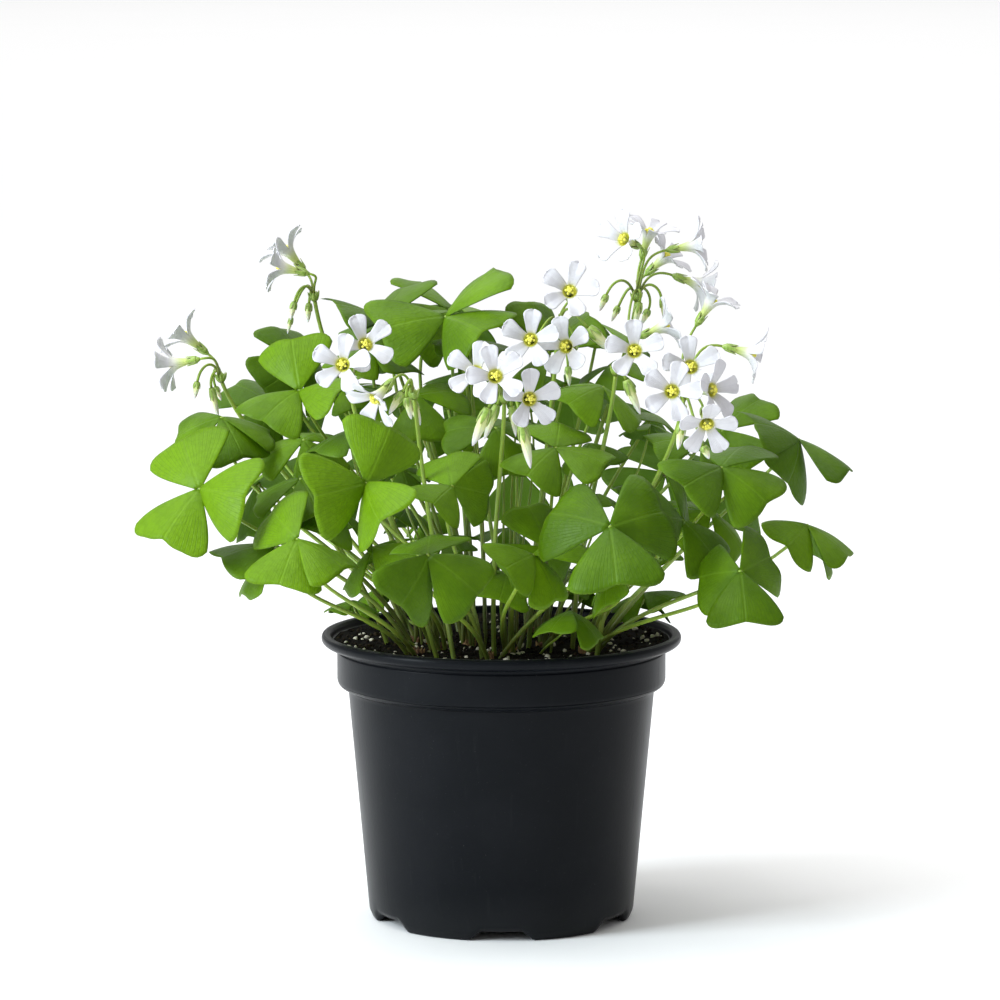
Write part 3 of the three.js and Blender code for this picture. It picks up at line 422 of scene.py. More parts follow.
def add_tubes(surface, paths, radii, sides, slot=0, **numbers):
    """Adds closed tubes: round each path point a ring of its radius, square to the path, and a pole
    at each end. The rings start from the normal of the plane in which the path bends, or square to
    a spare direction where it is straight."""
    paths = np.asarray(paths, float)
    copies, rows = paths.shape[:2]
    radii = np.broadcast_to(radii, (copies, rows))
    tangents = unit(np.gradient(paths, axis=1))
    normal = np.cross(tangents[:, 0], tangents[:, -1])
    spare = np.cross(tangents[:, 0], SPARE_WAY)
    bent = np.linalg.norm(normal, axis=1, keepdims=True) > LEAST_BEND
    normal = np.where(bent, normal, spare)[:, None, :]
    across = unit(normal - tangents * np.sum(normal * tangents, axis=-1, keepdims=True))
    side = np.cross(tangents, across)
    angle = 2 * np.pi * np.arange(sides) / sides
    ring = across[:, :, None] * np.cos(angle)[:, None] + side[:, :, None] * np.sin(angle)[:, None]
    rings = (paths[:, :, None] + radii[:, :, None, None] * ring).reshape(copies, rows * sides, 3)
    points = np.concatenate([rings, paths[:, :1], paths[:, -1:]], axis=1)
    j = np.arange(sides)
    k = (j + 1) % sides
    end = (rows - 1) * sides
    foot_cap = np.stack([np.full(sides, rows * sides), k, j], axis=-1)
    end_cap = np.stack([np.full(sides, rows * sides + 1), end + j, end + k], axis=-1)
    uv = np.stack([np.tile(j / sides, rows), np.repeat(np.linspace(0, 1, rows), sides)], axis=-1)
    uv = np.concatenate([uv, [[0.5, 0], [0.5, 1]]])
    quads = grid_quads(rows, sides, wrap=True)[:, ::-1]
    surface.add(points, [quads, foot_cap, end_cap], slot, uv, **numbers)


def add_turned(surface, profile, angles, slot=0, shape=None):
    """Adds one body turned round Z: radius and height along the profile, which starts and ends on
    the axis, at every angle. shape may move the points, given as x, y and z."""
    radius, height = np.asarray(profile, float)[1:-1].T
    cos, sin = np.cos(angles), np.sin(angles)
    x, y = radius[:, None] * cos, radius[:, None] * sin
    z = np.broadcast_to(height[:, None], x.shape)
    rings = np.stack(shape(x, y, z) if shape else (x, y, z), axis=-1).reshape(-1, 3)
    sides = len(angles)
    first = [0, 0, rings[:sides, 2].mean()]
    last = [0, 0, rings[-sides:, 2].mean()]
    points = np.concatenate([rings, [first, last]])
    j = np.arange(sides)
    k = (j + 1) % sides
    end = len(rings) - sides
    first_cap = np.stack([np.full(sides, len(rings)), j, k], axis=-1)
    last_cap = np.stack([np.full(sides, len(rings) + 1), end + k, end + j], axis=-1)
    travel = np.cumsum(np.hypot(np.diff(radius, prepend=radius[0]), np.diff(height, prepend=height[0])))
    uv = np.stack([np.tile(j / sides, len(radius)), np.repeat(travel / travel[-1], sides)], axis=-1)
    uv = np.concatenate([uv, [[0.5, 0], [0.5, 1]]])
    quads = grid_quads(len(radius), sides, wrap=True)
    surface.add(points[None], [quads, first_cap, last_cap], slot, uv)


# Finishes


def srgb(red, green, blue):
    """A colour given as it looks, 0 to 255, in the linear numbers that shaders take."""
    share = np.array([red, green, blue]) / 255
    return tuple(np.where(share <= 0.04045, share / 12.92, ((share + 0.055) / 1.055) ** 2.4))


# Shades within a finish
PLASTIC_MOTTLE = srgb(19, 21, 25)
DUST_GREY = srgb(150, 150, 146)
PEAT_DAMP = srgb(15, 13, 10)
PEAT_FIBRE = srgb(64, 52, 38)
PEAT_DRY = srgb(84, 68, 50)
PERLITE_STAIN = srgb(150, 138, 118)
LEAF_HUB = srgb(46, 82, 4)
LEAF_NET = srgb(42, 78, 2)
LEAF_VEIN = srgb(46, 82, 5)
LEAF_MIDRIB = srgb(130, 168, 50)
LEAF_FLECK = srgb(40, 76, 4)
LEAF_EDGE = srgb(112, 136, 34)
STALK_STREAK = srgb(96, 128, 48)
SCALE_BROWN = srgb(92, 52, 38)
SCALE_STRAW = srgb(150, 118, 74)
BUD_FOOT = srgb(212, 222, 140)
BUD_FURL = srgb(176, 184, 160)
BUD_LILAC = srgb(214, 206, 222)
SEPAL_GREEN = srgb(116, 148, 50)
SEPAL_LIGHT = srgb(150, 176, 76)
SEPAL_RIM = srgb(186, 198, 140)
SEPAL_TIP = srgb(186, 150, 62)
PETAL_SHADE = srgb(216, 215, 221)
PETAL_LINE = srgb(184, 181, 196)
TUBE_CREAM = srgb(226, 230, 150)
TUBE_GREEN = srgb(186, 206, 84)
PETAL_GLOW = srgb(228, 228, 232)
POLLEN = srgb(246, 240, 128)
THREAD_GREEN = srgb(206, 218, 160)
THREAD_WHITE = srgb(236, 238, 214)

# Places of the Mix node's sockets when it mixes colours
MIX_FACTOR, MIX_FIRST, MIX_SECOND, MIX_COLOUR = 0, 6, 7, 2


class Value:
    """A number that varies over a surface. Arithmetic on it adds Math nodes."""

    def __init__(self, finish, socket):
        self.finish, self.socket = finish, socket

    def math(self, operation, *others):
        node = self.finish.node("Math", operation=operation)
        for socket, value in zip(node.inputs, (self, *others)):
            self.finish.feed(socket, value)
        return Value(self.finish, node.outputs[0])

    def __add__(self, other):
        return self.math("ADD", other)

    def __sub__(self, other):
        return self.math("SUBTRACT", other)

    def __rsub__(self, other):
        return self.math("MULTIPLY", -1).math("ADD", other)

    def __mul__(self, other):
        return self.math("MULTIPLY", other)

    def __abs__(self):
        return self.math("ABSOLUTE")

    __radd__, __rmul__ = __add__, __mul__

    def step(self, low, high):
        """0 below low and 1 above high, eased between. low may be the larger."""
        node = self.finish.node("MapRange", interpolation_type="SMOOTHSTEP")
        for key, value in {"Value": self, "From Min": low, "From Max": high}.items():
            self.finish.feed(node.inputs[key], value)
        return Value(self.finish, node.outputs["Result"])


class Finish:
    """A procedural material on the Principled shader."""

    def __init__(self, name, **constants):
        self.material = bpy.data.materials.new(name)
        self.material.use_nodes = True
        self.tree = self.material.node_tree
        self.shader = self.tree.nodes["Principled BSDF"]
        for key, value in constants.items():
            self.set(key, value)

    def node(self, kind, inputs=None, **settings):
        """Any node by its type: settings first, then the values or links of its sockets."""
        node = self.tree.nodes.new("ShaderNode" + kind)
        for key, value in settings.items():
            setattr(node, key, value)
        for key, value in (inputs or {}).items():
            self.feed(node.inputs[key], value)
        return node

    def feed(self, socket, value):
        if isinstance(value, Value):
            value = value.socket
        if isinstance(value, bpy.types.NodeSocket):
            self.tree.links.new(value, socket)
        elif socket.type == "RGBA":
            socket.default_value = (*value, 1)
        else:
            socket.default_value = value

    def set(self, key, value):
        """Sets a socket of the shader, named in small letters with underscores."""
        name = key.replace("_", " ").title().replace("Ior", "IOR")
        self.feed(self.shader.inputs[name], value)

    def uv(self):
        """The UV map's two numbers."""
        place = self.node("UVMap", uv_map="UVMap")
        node = self.node("SeparateXYZ", {0: place.outputs[0]})
        return Value(self, node.outputs[0]), Value(self, node.outputs[1])

    def number(self, name):
        """A number kept at the mesh's points."""
        return Value(self, self.node("Attribute", attribute_name=name).outputs["Fac"])

    def place(self, axis):
        """A coordinate of the object, in metres."""
        node = self.node("SeparateXYZ", {0: self.node("TexCoord").outputs["Object"]})
        return Value(self, node.outputs[axis])

    def noise(self, scale, detail=3, stretch=(1, 1, 1)):
        """Noise round 0.5, with about scale cells to the metre."""
        place = self.node("TexCoord").outputs["Object"]
        place = self.node("Mapping", {"Vector": place, "Scale": stretch}).outputs[0]
        node = self.node("TexNoise", {"Vector": place, "Scale": scale, "Detail": detail})
        return Value(self, node.outputs[0])

    def spots(self, scale):
        """Distance to the nearest of scattered points, scale of them to the metre."""
        place = self.node("TexCoord").outputs["Object"]
        node = self.node("TexVoronoi", {"Vector": place, "Scale": scale})
        return Value(self, node.outputs["Distance"])

    def mix(self, factor, first, second):
        """A colour from first to second as the factor goes from 0 to 1."""
        inputs = {MIX_FACTOR: factor, MIX_FIRST: first, MIX_SECOND: second}
        return self.node("Mix", inputs, data_type="RGBA").outputs[MIX_COLOUR]

    def bump(self, height, distance, strength=1.0):
        """Relief of this many metres for a height of 1."""
        values = {"Height": height, "Distance": distance, "Strength": strength}
        self.feed(self.shader.inputs["Normal"], self.node("Bump", values).outputs[0])

    def through(self, colour, share):
        """Lets a share of the light through, tinted by the colour."""
        glow = self.node("BsdfTranslucent", {"Color": colour})
        inputs = {0: share, 1: self.shader.outputs[0], 2: glow.outputs[0]}
        blend = self.node("MixShader", inputs)
        output = self.tree.nodes["Material Output"]
        self.tree.links.new(blend.outputs[0], output.inputs["Surface"])


# Sizes and colours that a user would change


def length(name, description, default, low, high):
    """A length in metres that a user may change."""
    limits = dict(default=default, min=low, max=high)
    return FloatProperty(name=name, description=description, unit="LENGTH", **limits)


class OxalisSizes(PropertyGroup):
    leaf_thickness: length("Leaflet thickness", "Thickness of a leaflet's blade", 0.0003, 0.0001, 0.0007)
    leaf_wave: FloatProperty(
        name="Leaflet wave",
        description="Height of the waves along a leaflet's edge, as a share of its length",
        default=0.018,
        min=0,
        max=0.05,
        subtype="FACTOR",
    )
    petiole_width: length("Petiole width", "Width of a leaf's stalk at the soil", 0.0018, 0.001, 0.0024)
    scape_width: length("Flower stalk width", "Its width at the soil", 0.0018, 0.001, 0.0024)
    petal_thickness: length("Petal thickness", "Thickness of a petal", 0.00028, 0.0001, 0.0007)
    petal_width: length("Petal width", "Greatest width of a petal", 0.0066, 0.004, 0.0075)
    crumbs: IntProperty(
        name="Soil crumbs",
        description="Number of loose crumbs on the soil",
        default=1500,
        min=0,
        max=4000,
    )
    perlite: IntProperty(
        name="Perlite grains",
        description="Number of white grains on the soil",
        default=190,
        min=0,
        max=400,
    )
    young_leaves: IntProperty(
        name="Young leaves",
        description="Greatest number of small leaves in the gaps inside the plant",
        default=90,
        min=0,
        max=200,
    )


def colour(name, description, default):
    """A colour that a user may change."""
    kind = dict(subtype="COLOR", size=3, min=0, max=1)
    return FloatVectorProperty(name=name, description=description, default=default, **kind)


class OxalisColours(PropertyGroup):
    leaf: colour("Leaf", "Upper side of a leaf in full growth", srgb(76, 110, 3))
    leaf_young: colour("Young leaf", "Upper side of a young leaf", srgb(110, 150, 12))
    leaf_under: colour("Leaf underside", "Underside of a leaf", srgb(90, 128, 30))
    leaf_glow: colour("Leaf glow", "Light that comes through a leaf", srgb(120, 168, 4))
    stalk: colour("Stalk", "Flower stalks and the upper part of petioles", srgb(132, 160, 50))
    # The stalks' foot colour is brown-red and is also darkened to paint the shade that the leaves cast on
    # the stalks near the soil.
    stalk_foot_and_shade: colour("Stalk foot", "Stalks near the soil", srgb(78, 72, 32))
    petal: colour("Petal", "Open petals", srgb(228, 227, 231))
    throat: colour("Throat", "Bottom of a flower's tube", srgb(228, 226, 62))
    anther: colour("Anther", "Anthers", srgb(238, 232, 72))
    plastic: colour("Pot", "Plastic of the pot", srgb(11, 14, 18))
    soil: colour("Soil", "Potting soil", srgb(22, 19, 15))
    perlite: colour("Perlite", "White grains in the soil", srgb(204, 197, 178))


# Pot


ROUNDING_STEPS = 6
SAME_PLACE = 1e-6


def rounded(corners):
    """A profile through corners of radius, height and rounding: each corner is cut back by its
    rounding and the gap is filled by a parabola that leans on the corner."""
    corners = np.array(corners, float)
    points, cut_back = corners[:, :2], corners[:, 2:]
    before = unit(np.diff(points, axis=0, prepend=points[:1] - [[0, 1]]) * -1)
    after = unit(np.diff(points, axis=0, append=points[-1:] + [[0, 1]]))
    start, end = points + before * cut_back, points + after * cut_back
    t = np.linspace(0, 1, ROUNDING_STEPS)[None, :, None]
    curve = (1 - t) ** 2 * start[:, None] + 2 * (1 - t) * t * points[:, None] + t**2 * end[:, None]
    curve = curve.reshape(-1, 2)
    keep = np.append(True, np.linalg.norm(np.diff(curve, axis=0), axis=1) > SAME_PLACE)
    return curve[keep]


def refined(profile, longest):
    """The profile with its long straight runs divided into steps no longer than this."""
    parts = [profile[:1]]
    for first, second in zip(profile[:-1], profile[1:]):
        steps = int(np.ceil(np.linalg.norm(second - first) / longest))
        parts.append(first + (second - first) * np.linspace(0, 1, steps + 1)[1:, None])
    return np.concatenate(parts)


FLOOR_UNDER = 2.6
FLOOR_TOP = 4
FOOT_INNER_RADIUS = 44.2
FOOT_RADIUS = 46.6
COLLAR_RADIUS = 59.4
COLLAR_INNER_RADIUS = 58.1
# Corners from the middle under the floor, out and up to the lip and back down inside: radius,
# height and rounding
POT_PROFILE = (
    (0, FLOOR_UNDER, 0),
    (FOOT_INNER_RADIUS, FLOOR_UNDER, 0.5),
    (FOOT_INNER_RADIUS, 0, 0.5),
    (FOOT_RADIUS, 0, 0.9),
    (48, 3, 0.9),
    # Wall and the step under the collar
    (55.35, 83.4, 0.9),
    (55.9, 84.6, 0.6),
    (58.6, 85.2, 1.2),
    # Collar, with a fine groove near its top
    (COLLAR_RADIUS, 87, 0.8),
    (COLLAR_RADIUS, 97.6, 0.25),
    (59.0, 98.0, 0.2),
    (COLLAR_RADIUS, 98.4, 0.25),
    (60.0, 99.4, 0.6),
    # Rolled lip
    (63.6, 100.0, 0.8),
    (RIM_RADIUS, 101.2, 0.9),
    (RIM_RADIUS, 103.2, 0.9),
    (64.0, POT_HEIGHT, 0.7),
    (RIM_RADIUS - RIM_THICKNESS, POT_HEIGHT, 0.7),
    # Ledge inside the lip, inner wall and floor
    (61.5, 102.9, 0.5),
    (61.2, 101.3, 0.5),
    (COLLAR_INNER_RADIUS, 100.2, 0.6),
    (COLLAR_INNER_RADIUS, 86.8, 0.8),
    (54.1, 83.2, 0.8),
    (46.7, FLOOR_TOP, 1),
    (0, FLOOR_TOP, 0),
)
POT_LONGEST_STEP = 3
POT_SIDES = 288
NOTCH_COUNT = 6
NOTCH_HEIGHT = 3.4
NOTCH_HALF_WIDTHS = (7.5, 11.5)
NOTCH_START = 40
NOTCH_FULL = 43
NOTCH_REACH_UP = 8
DRAIN_COUNT = 6
DRAIN_RADIUS = 4.5
DRAIN_CIRCLE = 33
DRAIN_SIDES = 32
DRAIN_BORE = (1, 6)


def notched(x, y, z):
    """The foot lifted where the six notches are: the lift is a trapezoid of the distance round the
    foot, fades out upward and toward the middle of the floor, and is full at the foot ring."""
    radius = np.hypot(x, y)
    turn = np.arctan2(x, -y) / (2 * np.pi) * NOTCH_COUNT
    away = np.abs(turn - np.round(turn)) * 2 * np.pi * radius / NOTCH_COUNT
    narrow, wide = NOTCH_HALF_WIDTHS
    lift = NOTCH_HEIGHT * np.clip((wide - away) / (wide - narrow), 0, 1)
    lift = lift * smooth(radius, NOTCH_START, NOTCH_FULL)
    return x, y, z + lift * np.clip(1 - z / NOTCH_REACH_UP, 0, 1)


def pot_plastic(colours):
    """Satin black plastic: faint mottling, scuffs that catch the light, and specks of dust."""
    finish = Finish("pot_plastic", specular_ior_level=0.085)
    cloud = finish.noise(38, 3)
    scuff = finish.noise(420, 4, (1, 1, 0.12)).step(0.6, 0.78)
    dust = finish.noise(1900, 2).step(0.7, 0.8)
    low = finish.place(2).step(0.02, 0.0)
    shade = finish.mix(cloud.step(0.35, 0.7) * 0.5, colours.plastic, PLASTIC_MOTTLE)
    shade = finish.mix(dust * 0.1 + scuff * 0.008 + low * 0.02, shade, DUST_GREY)
    finish.set("base_color", shade)
    finish.set("roughness", 0.33 + (cloud - 0.5) * 0.14 + scuff * 0.12 + dust * 0.2)
    finish.bump(finish.noise(900, 3) + scuff * 0.5, 0.00004, 0.6)
    return finish.material


class OXALIS_OT_pot(Operator):
    """Turns the pot's wall, rolled lip and foot, and bores the drain holes"""

    bl_idname = "oxalis.pot"
    bl_label = "Pot"

    def execute(self, context):
        surface = Surface()
        profile = refined(rounded(POT_PROFILE), POT_LONGEST_STEP)
        angles = 2 * np.pi * np.arange(POT_SIDES) / POT_SIDES
        add_turned(surface, profile, angles, shape=notched)
        finish = pot_plastic(context.scene.oxalis_colours)
        piece = surface.piece("pot_turned", [finish], "pot", "pot_plastic")
        turns = 2 * np.pi * (np.arange(DRAIN_COUNT) + 0.5) / DRAIN_COUNT
        paths = np.empty((DRAIN_COUNT, 2, 3))
        paths[:, :, 0] = DRAIN_CIRCLE * np.cos(turns)[:, None]
        paths[:, :, 1] = DRAIN_CIRCLE * np.sin(turns)[:, None]
        paths[:, :, 2] = DRAIN_BORE
        bores = Surface()
        add_tubes(bores, paths, DRAIN_RADIUS, DRAIN_SIDES)
        cut(piece, bores)
        return {"FINISHED"}


def cut(piece, bores):
    """Takes the bores' bodies out of the piece."""
    mesh = bpy.data.meshes.new("bores")
    corners = [tuple(face) for group in bores.faces for face in group.tolist()]
    mesh.from_pydata((np.concatenate(bores.points) * MM).tolist(), [], corners)
    tool = bpy.data.objects.new("bores", mesh)
    bpy.context.scene.collection.objects.link(tool)
    modifier = piece.modifiers.new("Drain holes", "BOOLEAN")
    modifier.operation = "DIFFERENCE"
    modifier.object = tool
    modifier.solver = "EXACT"
    bpy.context.view_layer.update()
    evaluated = piece.evaluated_get(bpy.context.evaluated_depsgraph_get())
    bored = bpy.data.meshes.new_from_object(evaluated)
    piece.modifiers.remove(modifier)
    piece.data = bored
    bpy.data.objects.remove(tool)


# Soil

SOIL_EDGE = 57.4
SOIL_RIM = 60.6
SOIL_BOTTOM = 4.4
# The soil's side, from the pot's floor up onto the ledge of its lip: radius and height
SOIL_SIDE = (
    (0, SOIL_BOTTOM),
    (46.2, SOIL_BOTTOM),
    (53.6, 83),
    (SOIL_EDGE, 88.6),
    (SOIL_EDGE, 100.1),
    (58.6, 100.6),
    (SOIL_RIM, 100.7),
)
SOIL_RINGS = 80
SOIL_INNER_RING = 0.8
SOIL_SIDES = 220
SOIL_HEAP = 6
SOIL_CLIMB = 1.4
SOIL_CALM = 50
# Share of the relief that is lost beside the wall
SOIL_SETTLED = 0.6
# Slow swells, lumps and grains: width, height and seed
SOIL_RELIEF = ((22, 0.5, 3), (5, 0.55, 4), (1.6, 0.35, 5))
CRUMB_SIZES = (0.35, 1.1)
CRUMB_SPREAD = (0.6, 1.2)
CRUMB_MARGIN = 1.4
PERLITE_SIZES = (0.4, 1.35)
PERLITE_INNER = 12
PERLITE_MARGIN = 1.6
CRUMB_SEED = 11
CRUMB_PLACE_SEED = 12
CRUMB_SHAPE_SEED = 13
PERLITE_PLACE_SEED = 14
PERLITE_SHAPE_SEED = 15


def soil_height(x, y):
    """The soil's height at a place: slow swells, lumps and grains, calmer beside the wall. The loose
    mix is raised all over by an even heap and climbs onto the ledge of the lip."""
    wall = smooth(np.hypot(x, y), SOIL_CALM, SOIL_EDGE)
    relief = sum(height * plane_noise(x / width, y / width, seed) for width, height, seed in SOIL_RELIEF)
    return SOIL_TOP + SOIL_HEAP + SOIL_CLIMB * wall + relief * (1 - SOIL_SETTLED * wall)


GRAIN_STRETCH = (0.65, 1.15)
GRAIN_ROUGHNESS = (0.75, 1.15)


def add_grains(surface, places, sizes, seed, slot=0, **numbers):
    """Adds small stones: an octahedron with its edges halved and its points pushed to the sphere,
    stretched along its own three axes, turned and roughened at random."""
    random = np.random.default_rng(seed)
    tips = np.array([[1, 0, 0], [-1, 0, 0], [0, 1, 0], [0, -1, 0], [0, 0, 1], [0, 0, -1]], float)
    faces = [(0, 2, 4), (2, 1, 4), (1, 3, 4), (3, 0, 4), (2, 0, 5), (1, 2, 5), (3, 1, 5), (0, 3, 5)]
    edges = sorted({tuple(sorted((f[i], f[(i + 1) % 3]))) for f in faces for i in range(3)})
    points = np.concatenate([tips, unit(np.array([tips[a] + tips[b] for a, b in edges]))])
    middle = {edge: len(tips) + i for i, edge in enumerate(edges)}
    fine = []
    for a, b, c in faces:
        ab, bc, ca = (middle[tuple(sorted(pair))] for pair in ((a, b), (b, c), (c, a)))
        fine += [(a, ab, ca), (ab, b, bc), (ca, bc, c), (ab, bc, ca)]
    count = len(places)
    axes = unit(random.normal(size=(count, 3, 3)))
    stretch = random.uniform(*GRAIN_STRETCH, (count, 1, 3))
    rough = random.uniform(*GRAIN_ROUGHNESS, (count, len(points), 1))
    spins = np.linalg.qr(axes)[0]
    spins *= np.sign(np.linalg.det(spins))[:, None, None]
    shapes = (points[None] * rough * stretch * np.reshape(sizes, (-1, 1, 1))) @ spins
    surface.add(places[:, None] + shapes, [np.array(fine)], slot, (0.5, 0.5), **numbers)


def heaped(x, y, z):
    """The soil's top raised to its height at each place; its side and bottom stay."""
    return x, y, np.where(np.isclose(z, SOIL_TOP), soil_height(x, y), z)


def scattered(count, inner, outer, seed):
    """Random places spread evenly between two radii, lying on the soil."""
    random = np.random.default_rng(seed)
    radius = np.sqrt(random.uniform(inner**2, outer**2, count))
    turn = random.uniform(0, 2 * np.pi, count)
    x, y = radius * np.cos(turn), radius * np.sin(turn)
    return np.stack([x, y, soil_height(x, y)], axis=-1)


def potting_soil(colours):
    """Dark peat with brown fibre and paler dry crumbs."""
    finish = Finish("potting_soil", roughness=0.95, specular_ior_level=0.08)
    damp, grain = finish.noise(60, 3), finish.noise(900, 4)
    tone = finish.number("tone")
    shade = finish.mix(damp.step(0.35, 0.7), PEAT_DAMP, colours.soil)
    shade = finish.mix(grain.step(0.56, 0.74) * 0.5, shade, PEAT_FIBRE)
    shade = finish.mix(tone * 0.35, shade, PEAT_DRY)
    finish.set("base_color", shade)
    finish.bump(grain, 0.0006)
    return finish.material


def perlite_finish(colours):
    """Chalky white grains, stained by the peat in their pits."""
    finish = Finish("perlite", roughness=0.9)
    pits = finish.noise(1500, 3)
    finish.set("base_color", finish.mix(pits.step(0.5, 0.75) * 0.6, colours.perlite, PERLITE_STAIN))
    finish.bump(pits, 0.0003)
    return finish.material


class OXALIS_OT_soil(Operator):
    """Fills the pot with peat, crumbs and perlite"""

    bl_idname = "oxalis.soil"
    bl_label = "Soil"

    def execute(self, context):
        sizes, colours = context.scene.oxalis_sizes, context.scene.oxalis_colours
        surface = Surface()
        angles = 2 * np.pi * np.arange(SOIL_SIDES) / SOIL_SIDES
        rings = [(radius, SOIL_TOP) for radius in np.linspace(SOIL_RIM, SOIL_INNER_RING, SOIL_RINGS)]
        add_turned(surface, [*SOIL_SIDE, *rings, (0, SOIL_TOP)], angles, shape=heaped)
        random = np.random.default_rng(CRUMB_SEED)
        count = sizes.crumbs
        size = random.uniform(*CRUMB_SIZES, count) * random.uniform(*CRUMB_SPREAD, count)
        places = scattered(count, 0, SOIL_RIM - CRUMB_MARGIN, CRUMB_PLACE_SEED)
        tones = random.uniform(0, 1, count) ** 2
        add_grains(surface, places, size, CRUMB_SHAPE_SEED, tone=tones)
        count = sizes.perlite
        size = random.uniform(*PERLITE_SIZES, count)
        places = scattered(count, PERLITE_INNER, SOIL_RIM - PERLITE_MARGIN, PERLITE_PLACE_SEED)
        add_grains(surface, places, size, PERLITE_SHAPE_SEED, slot=1)
        finishes = [potting_soil(colours), perlite_finish(colours)]
        surface.piece("soil_crumbly", finishes, "soil", "potting_soil")
        return {"FINISHED"}


# Leaves

FAN_HALF_ANGLE = 44.5
FAN_PULL = 7
HUB_GAP = 0.05
HUB_SINK = 0.03
END_MIDDLE = 0.93
END_SWELL = 0.26
END_ROUNDING = 0.17
END_UNEVEN = 0.008
END_LOPSIDED = 0.02
BLADE_ROWS = 14
BLADE_COLS = 21
DROOP_SPREAD = (-1, 7)
FOLD_SPREAD = (1, 11)
CREASE = 0.02
HALF_SWELL = 0.03
CORNER_DROP = 0.025
HUB_LIFT = 0.1
EDGE_THINNING = 0.6
PETIOLE_STEPS = 18
PETIOLE_SIDES = 9
PETIOLE_TAPER = 0.62
HEEL_RADIUS = 0.95
HEEL_PROFILE = (0.5, 0.8, 1, 1, 0.75, 0.2)
HEEL_REACH = (-1.6, 0.5)
CROWN_DEPTH = 4
CROWN_PROFILE = ((0, 2.8), (1.5, 3.1), (3, 3.0), (4.6, 2.2), (5.6, 1.2))
CROWN_SIDES = 14
YOUNG_TRIES = 4200
YOUNG_SEED = 31
YOUNG_CELL = 3
LEAFLET_TURNS = [0, 120, 240]
CELL_COUNT = 1000
YOUNG_INNER = 4
YOUNG_OUTER = 58
YOUNG_LOW = 116
YOUNG_HIGH = 220
YOUNG_DOME = 0.45
YOUNG_LENGTHS = (11, 16)
YOUNG_LEAN = 0.5
YOUNG_TAPER = 0.8
YOUNG_SIDES = 7
YOUNG_TURN_SPREAD = 12
YOUNG_MOST_DIP = 40
YOUNG_MOST_ROLL = 25
YOUNG_TONES = (0.2, 0.9)
YOUNG_STEPS = 60
YOUNG_FREE_STEPS = 12
YOUNG_PETIOLE = 0.28
SCAPE_TRIAL_STEPS = 80
CROWN_PUSH = 1.6


def leaflet_outline(random, shape):
    """Leaflets flat, as distances along and across in leaflet lengths, on fans of rays from the hub.
    A ray's length is the middle's, plus a swell of |u|^1.3, less a rounding of |u|^6, u from -1 to 1
    across the fan: the end is notched in the middle and round at its corners. The fan narrows
    toward its end. Each leaflet's end is a little lopsided and uneven."""
    u = np.linspace(-1, 1, BLADE_COLS)[None, :]
    out = np.linspace(HUB_GAP, 1, BLADE_ROWS)[:, None]
    uneven = END_UNEVEN * np.sin(u * random.uniform(*END_RIPPLES, shape) + random.uniform(0, 6, shape))
    uneven = uneven + random.uniform(-END_LOPSIDED, END_LOPSIDED, shape) * u
    reach = END_MIDDLE + END_SWELL * np.abs(u) ** 1.3 - END_ROUNDING * np.abs(u) ** 6 + uneven * out**2
    angle = np.radians(u * (FAN_HALF_ANGLE - FAN_PULL * out**3))
    along = out * reach * np.cos(angle) - HUB_SINK
    uv = np.stack(np.broadcast_arrays((u + 1) / 2, out), axis=-1)
    return along, out * reach * np.sin(angle), uv


def facing(along, face):
    """The way each whole leaf faces: the mean of its leaflets' faces, leaned back, never from
    below."""
    lean = np.radians(BLADE_LEAN)
    axis = unit(np.sum(face * np.cos(lean) - along * np.sin(lean), axis=1))
    axis[:, 2] = np.maximum(axis[:, 2], LEAST_LIFT)
    return unit(axis)


def leaf_roots(crown, hubs):
    """Where the petioles stand: on a ring round the crown, turned toward the middle of the leaves."""
    middle = np.sum(hubs[:, :2] - crown, axis=0)
    count = len(hubs)
    turn = np.arctan2(middle[1], middle[0]) + 2 * np.pi * (np.arange(count) - (count - 1) / 2) / count
    ring = ROOT_CIRCLE * np.stack([np.cos(turn), np.sin(turn)], axis=-1)
    return np.column_stack([ring + crown, np.full(count, SOIL_TOP)])


def petiole_paths(roots, hubs, axis, bends, steps):
    """Each petiole rises straight from its root and comes to its hub from behind the leaf."""
    way = hubs - roots
    reach = np.linalg.norm(way, axis=1, keepdims=True)
    low = roots + way * [PETIOLE_SWAY, PETIOLE_SWAY, 0.5]
    low[:, :2] += bends
    high = hubs - PETIOLE_REACH * reach * axis
    high[:, 2] = np.maximum(high[:, 2], SOIL_TOP + PETIOLE_CLEARANCE)
    return bezier(roots, low, high, hubs, steps)


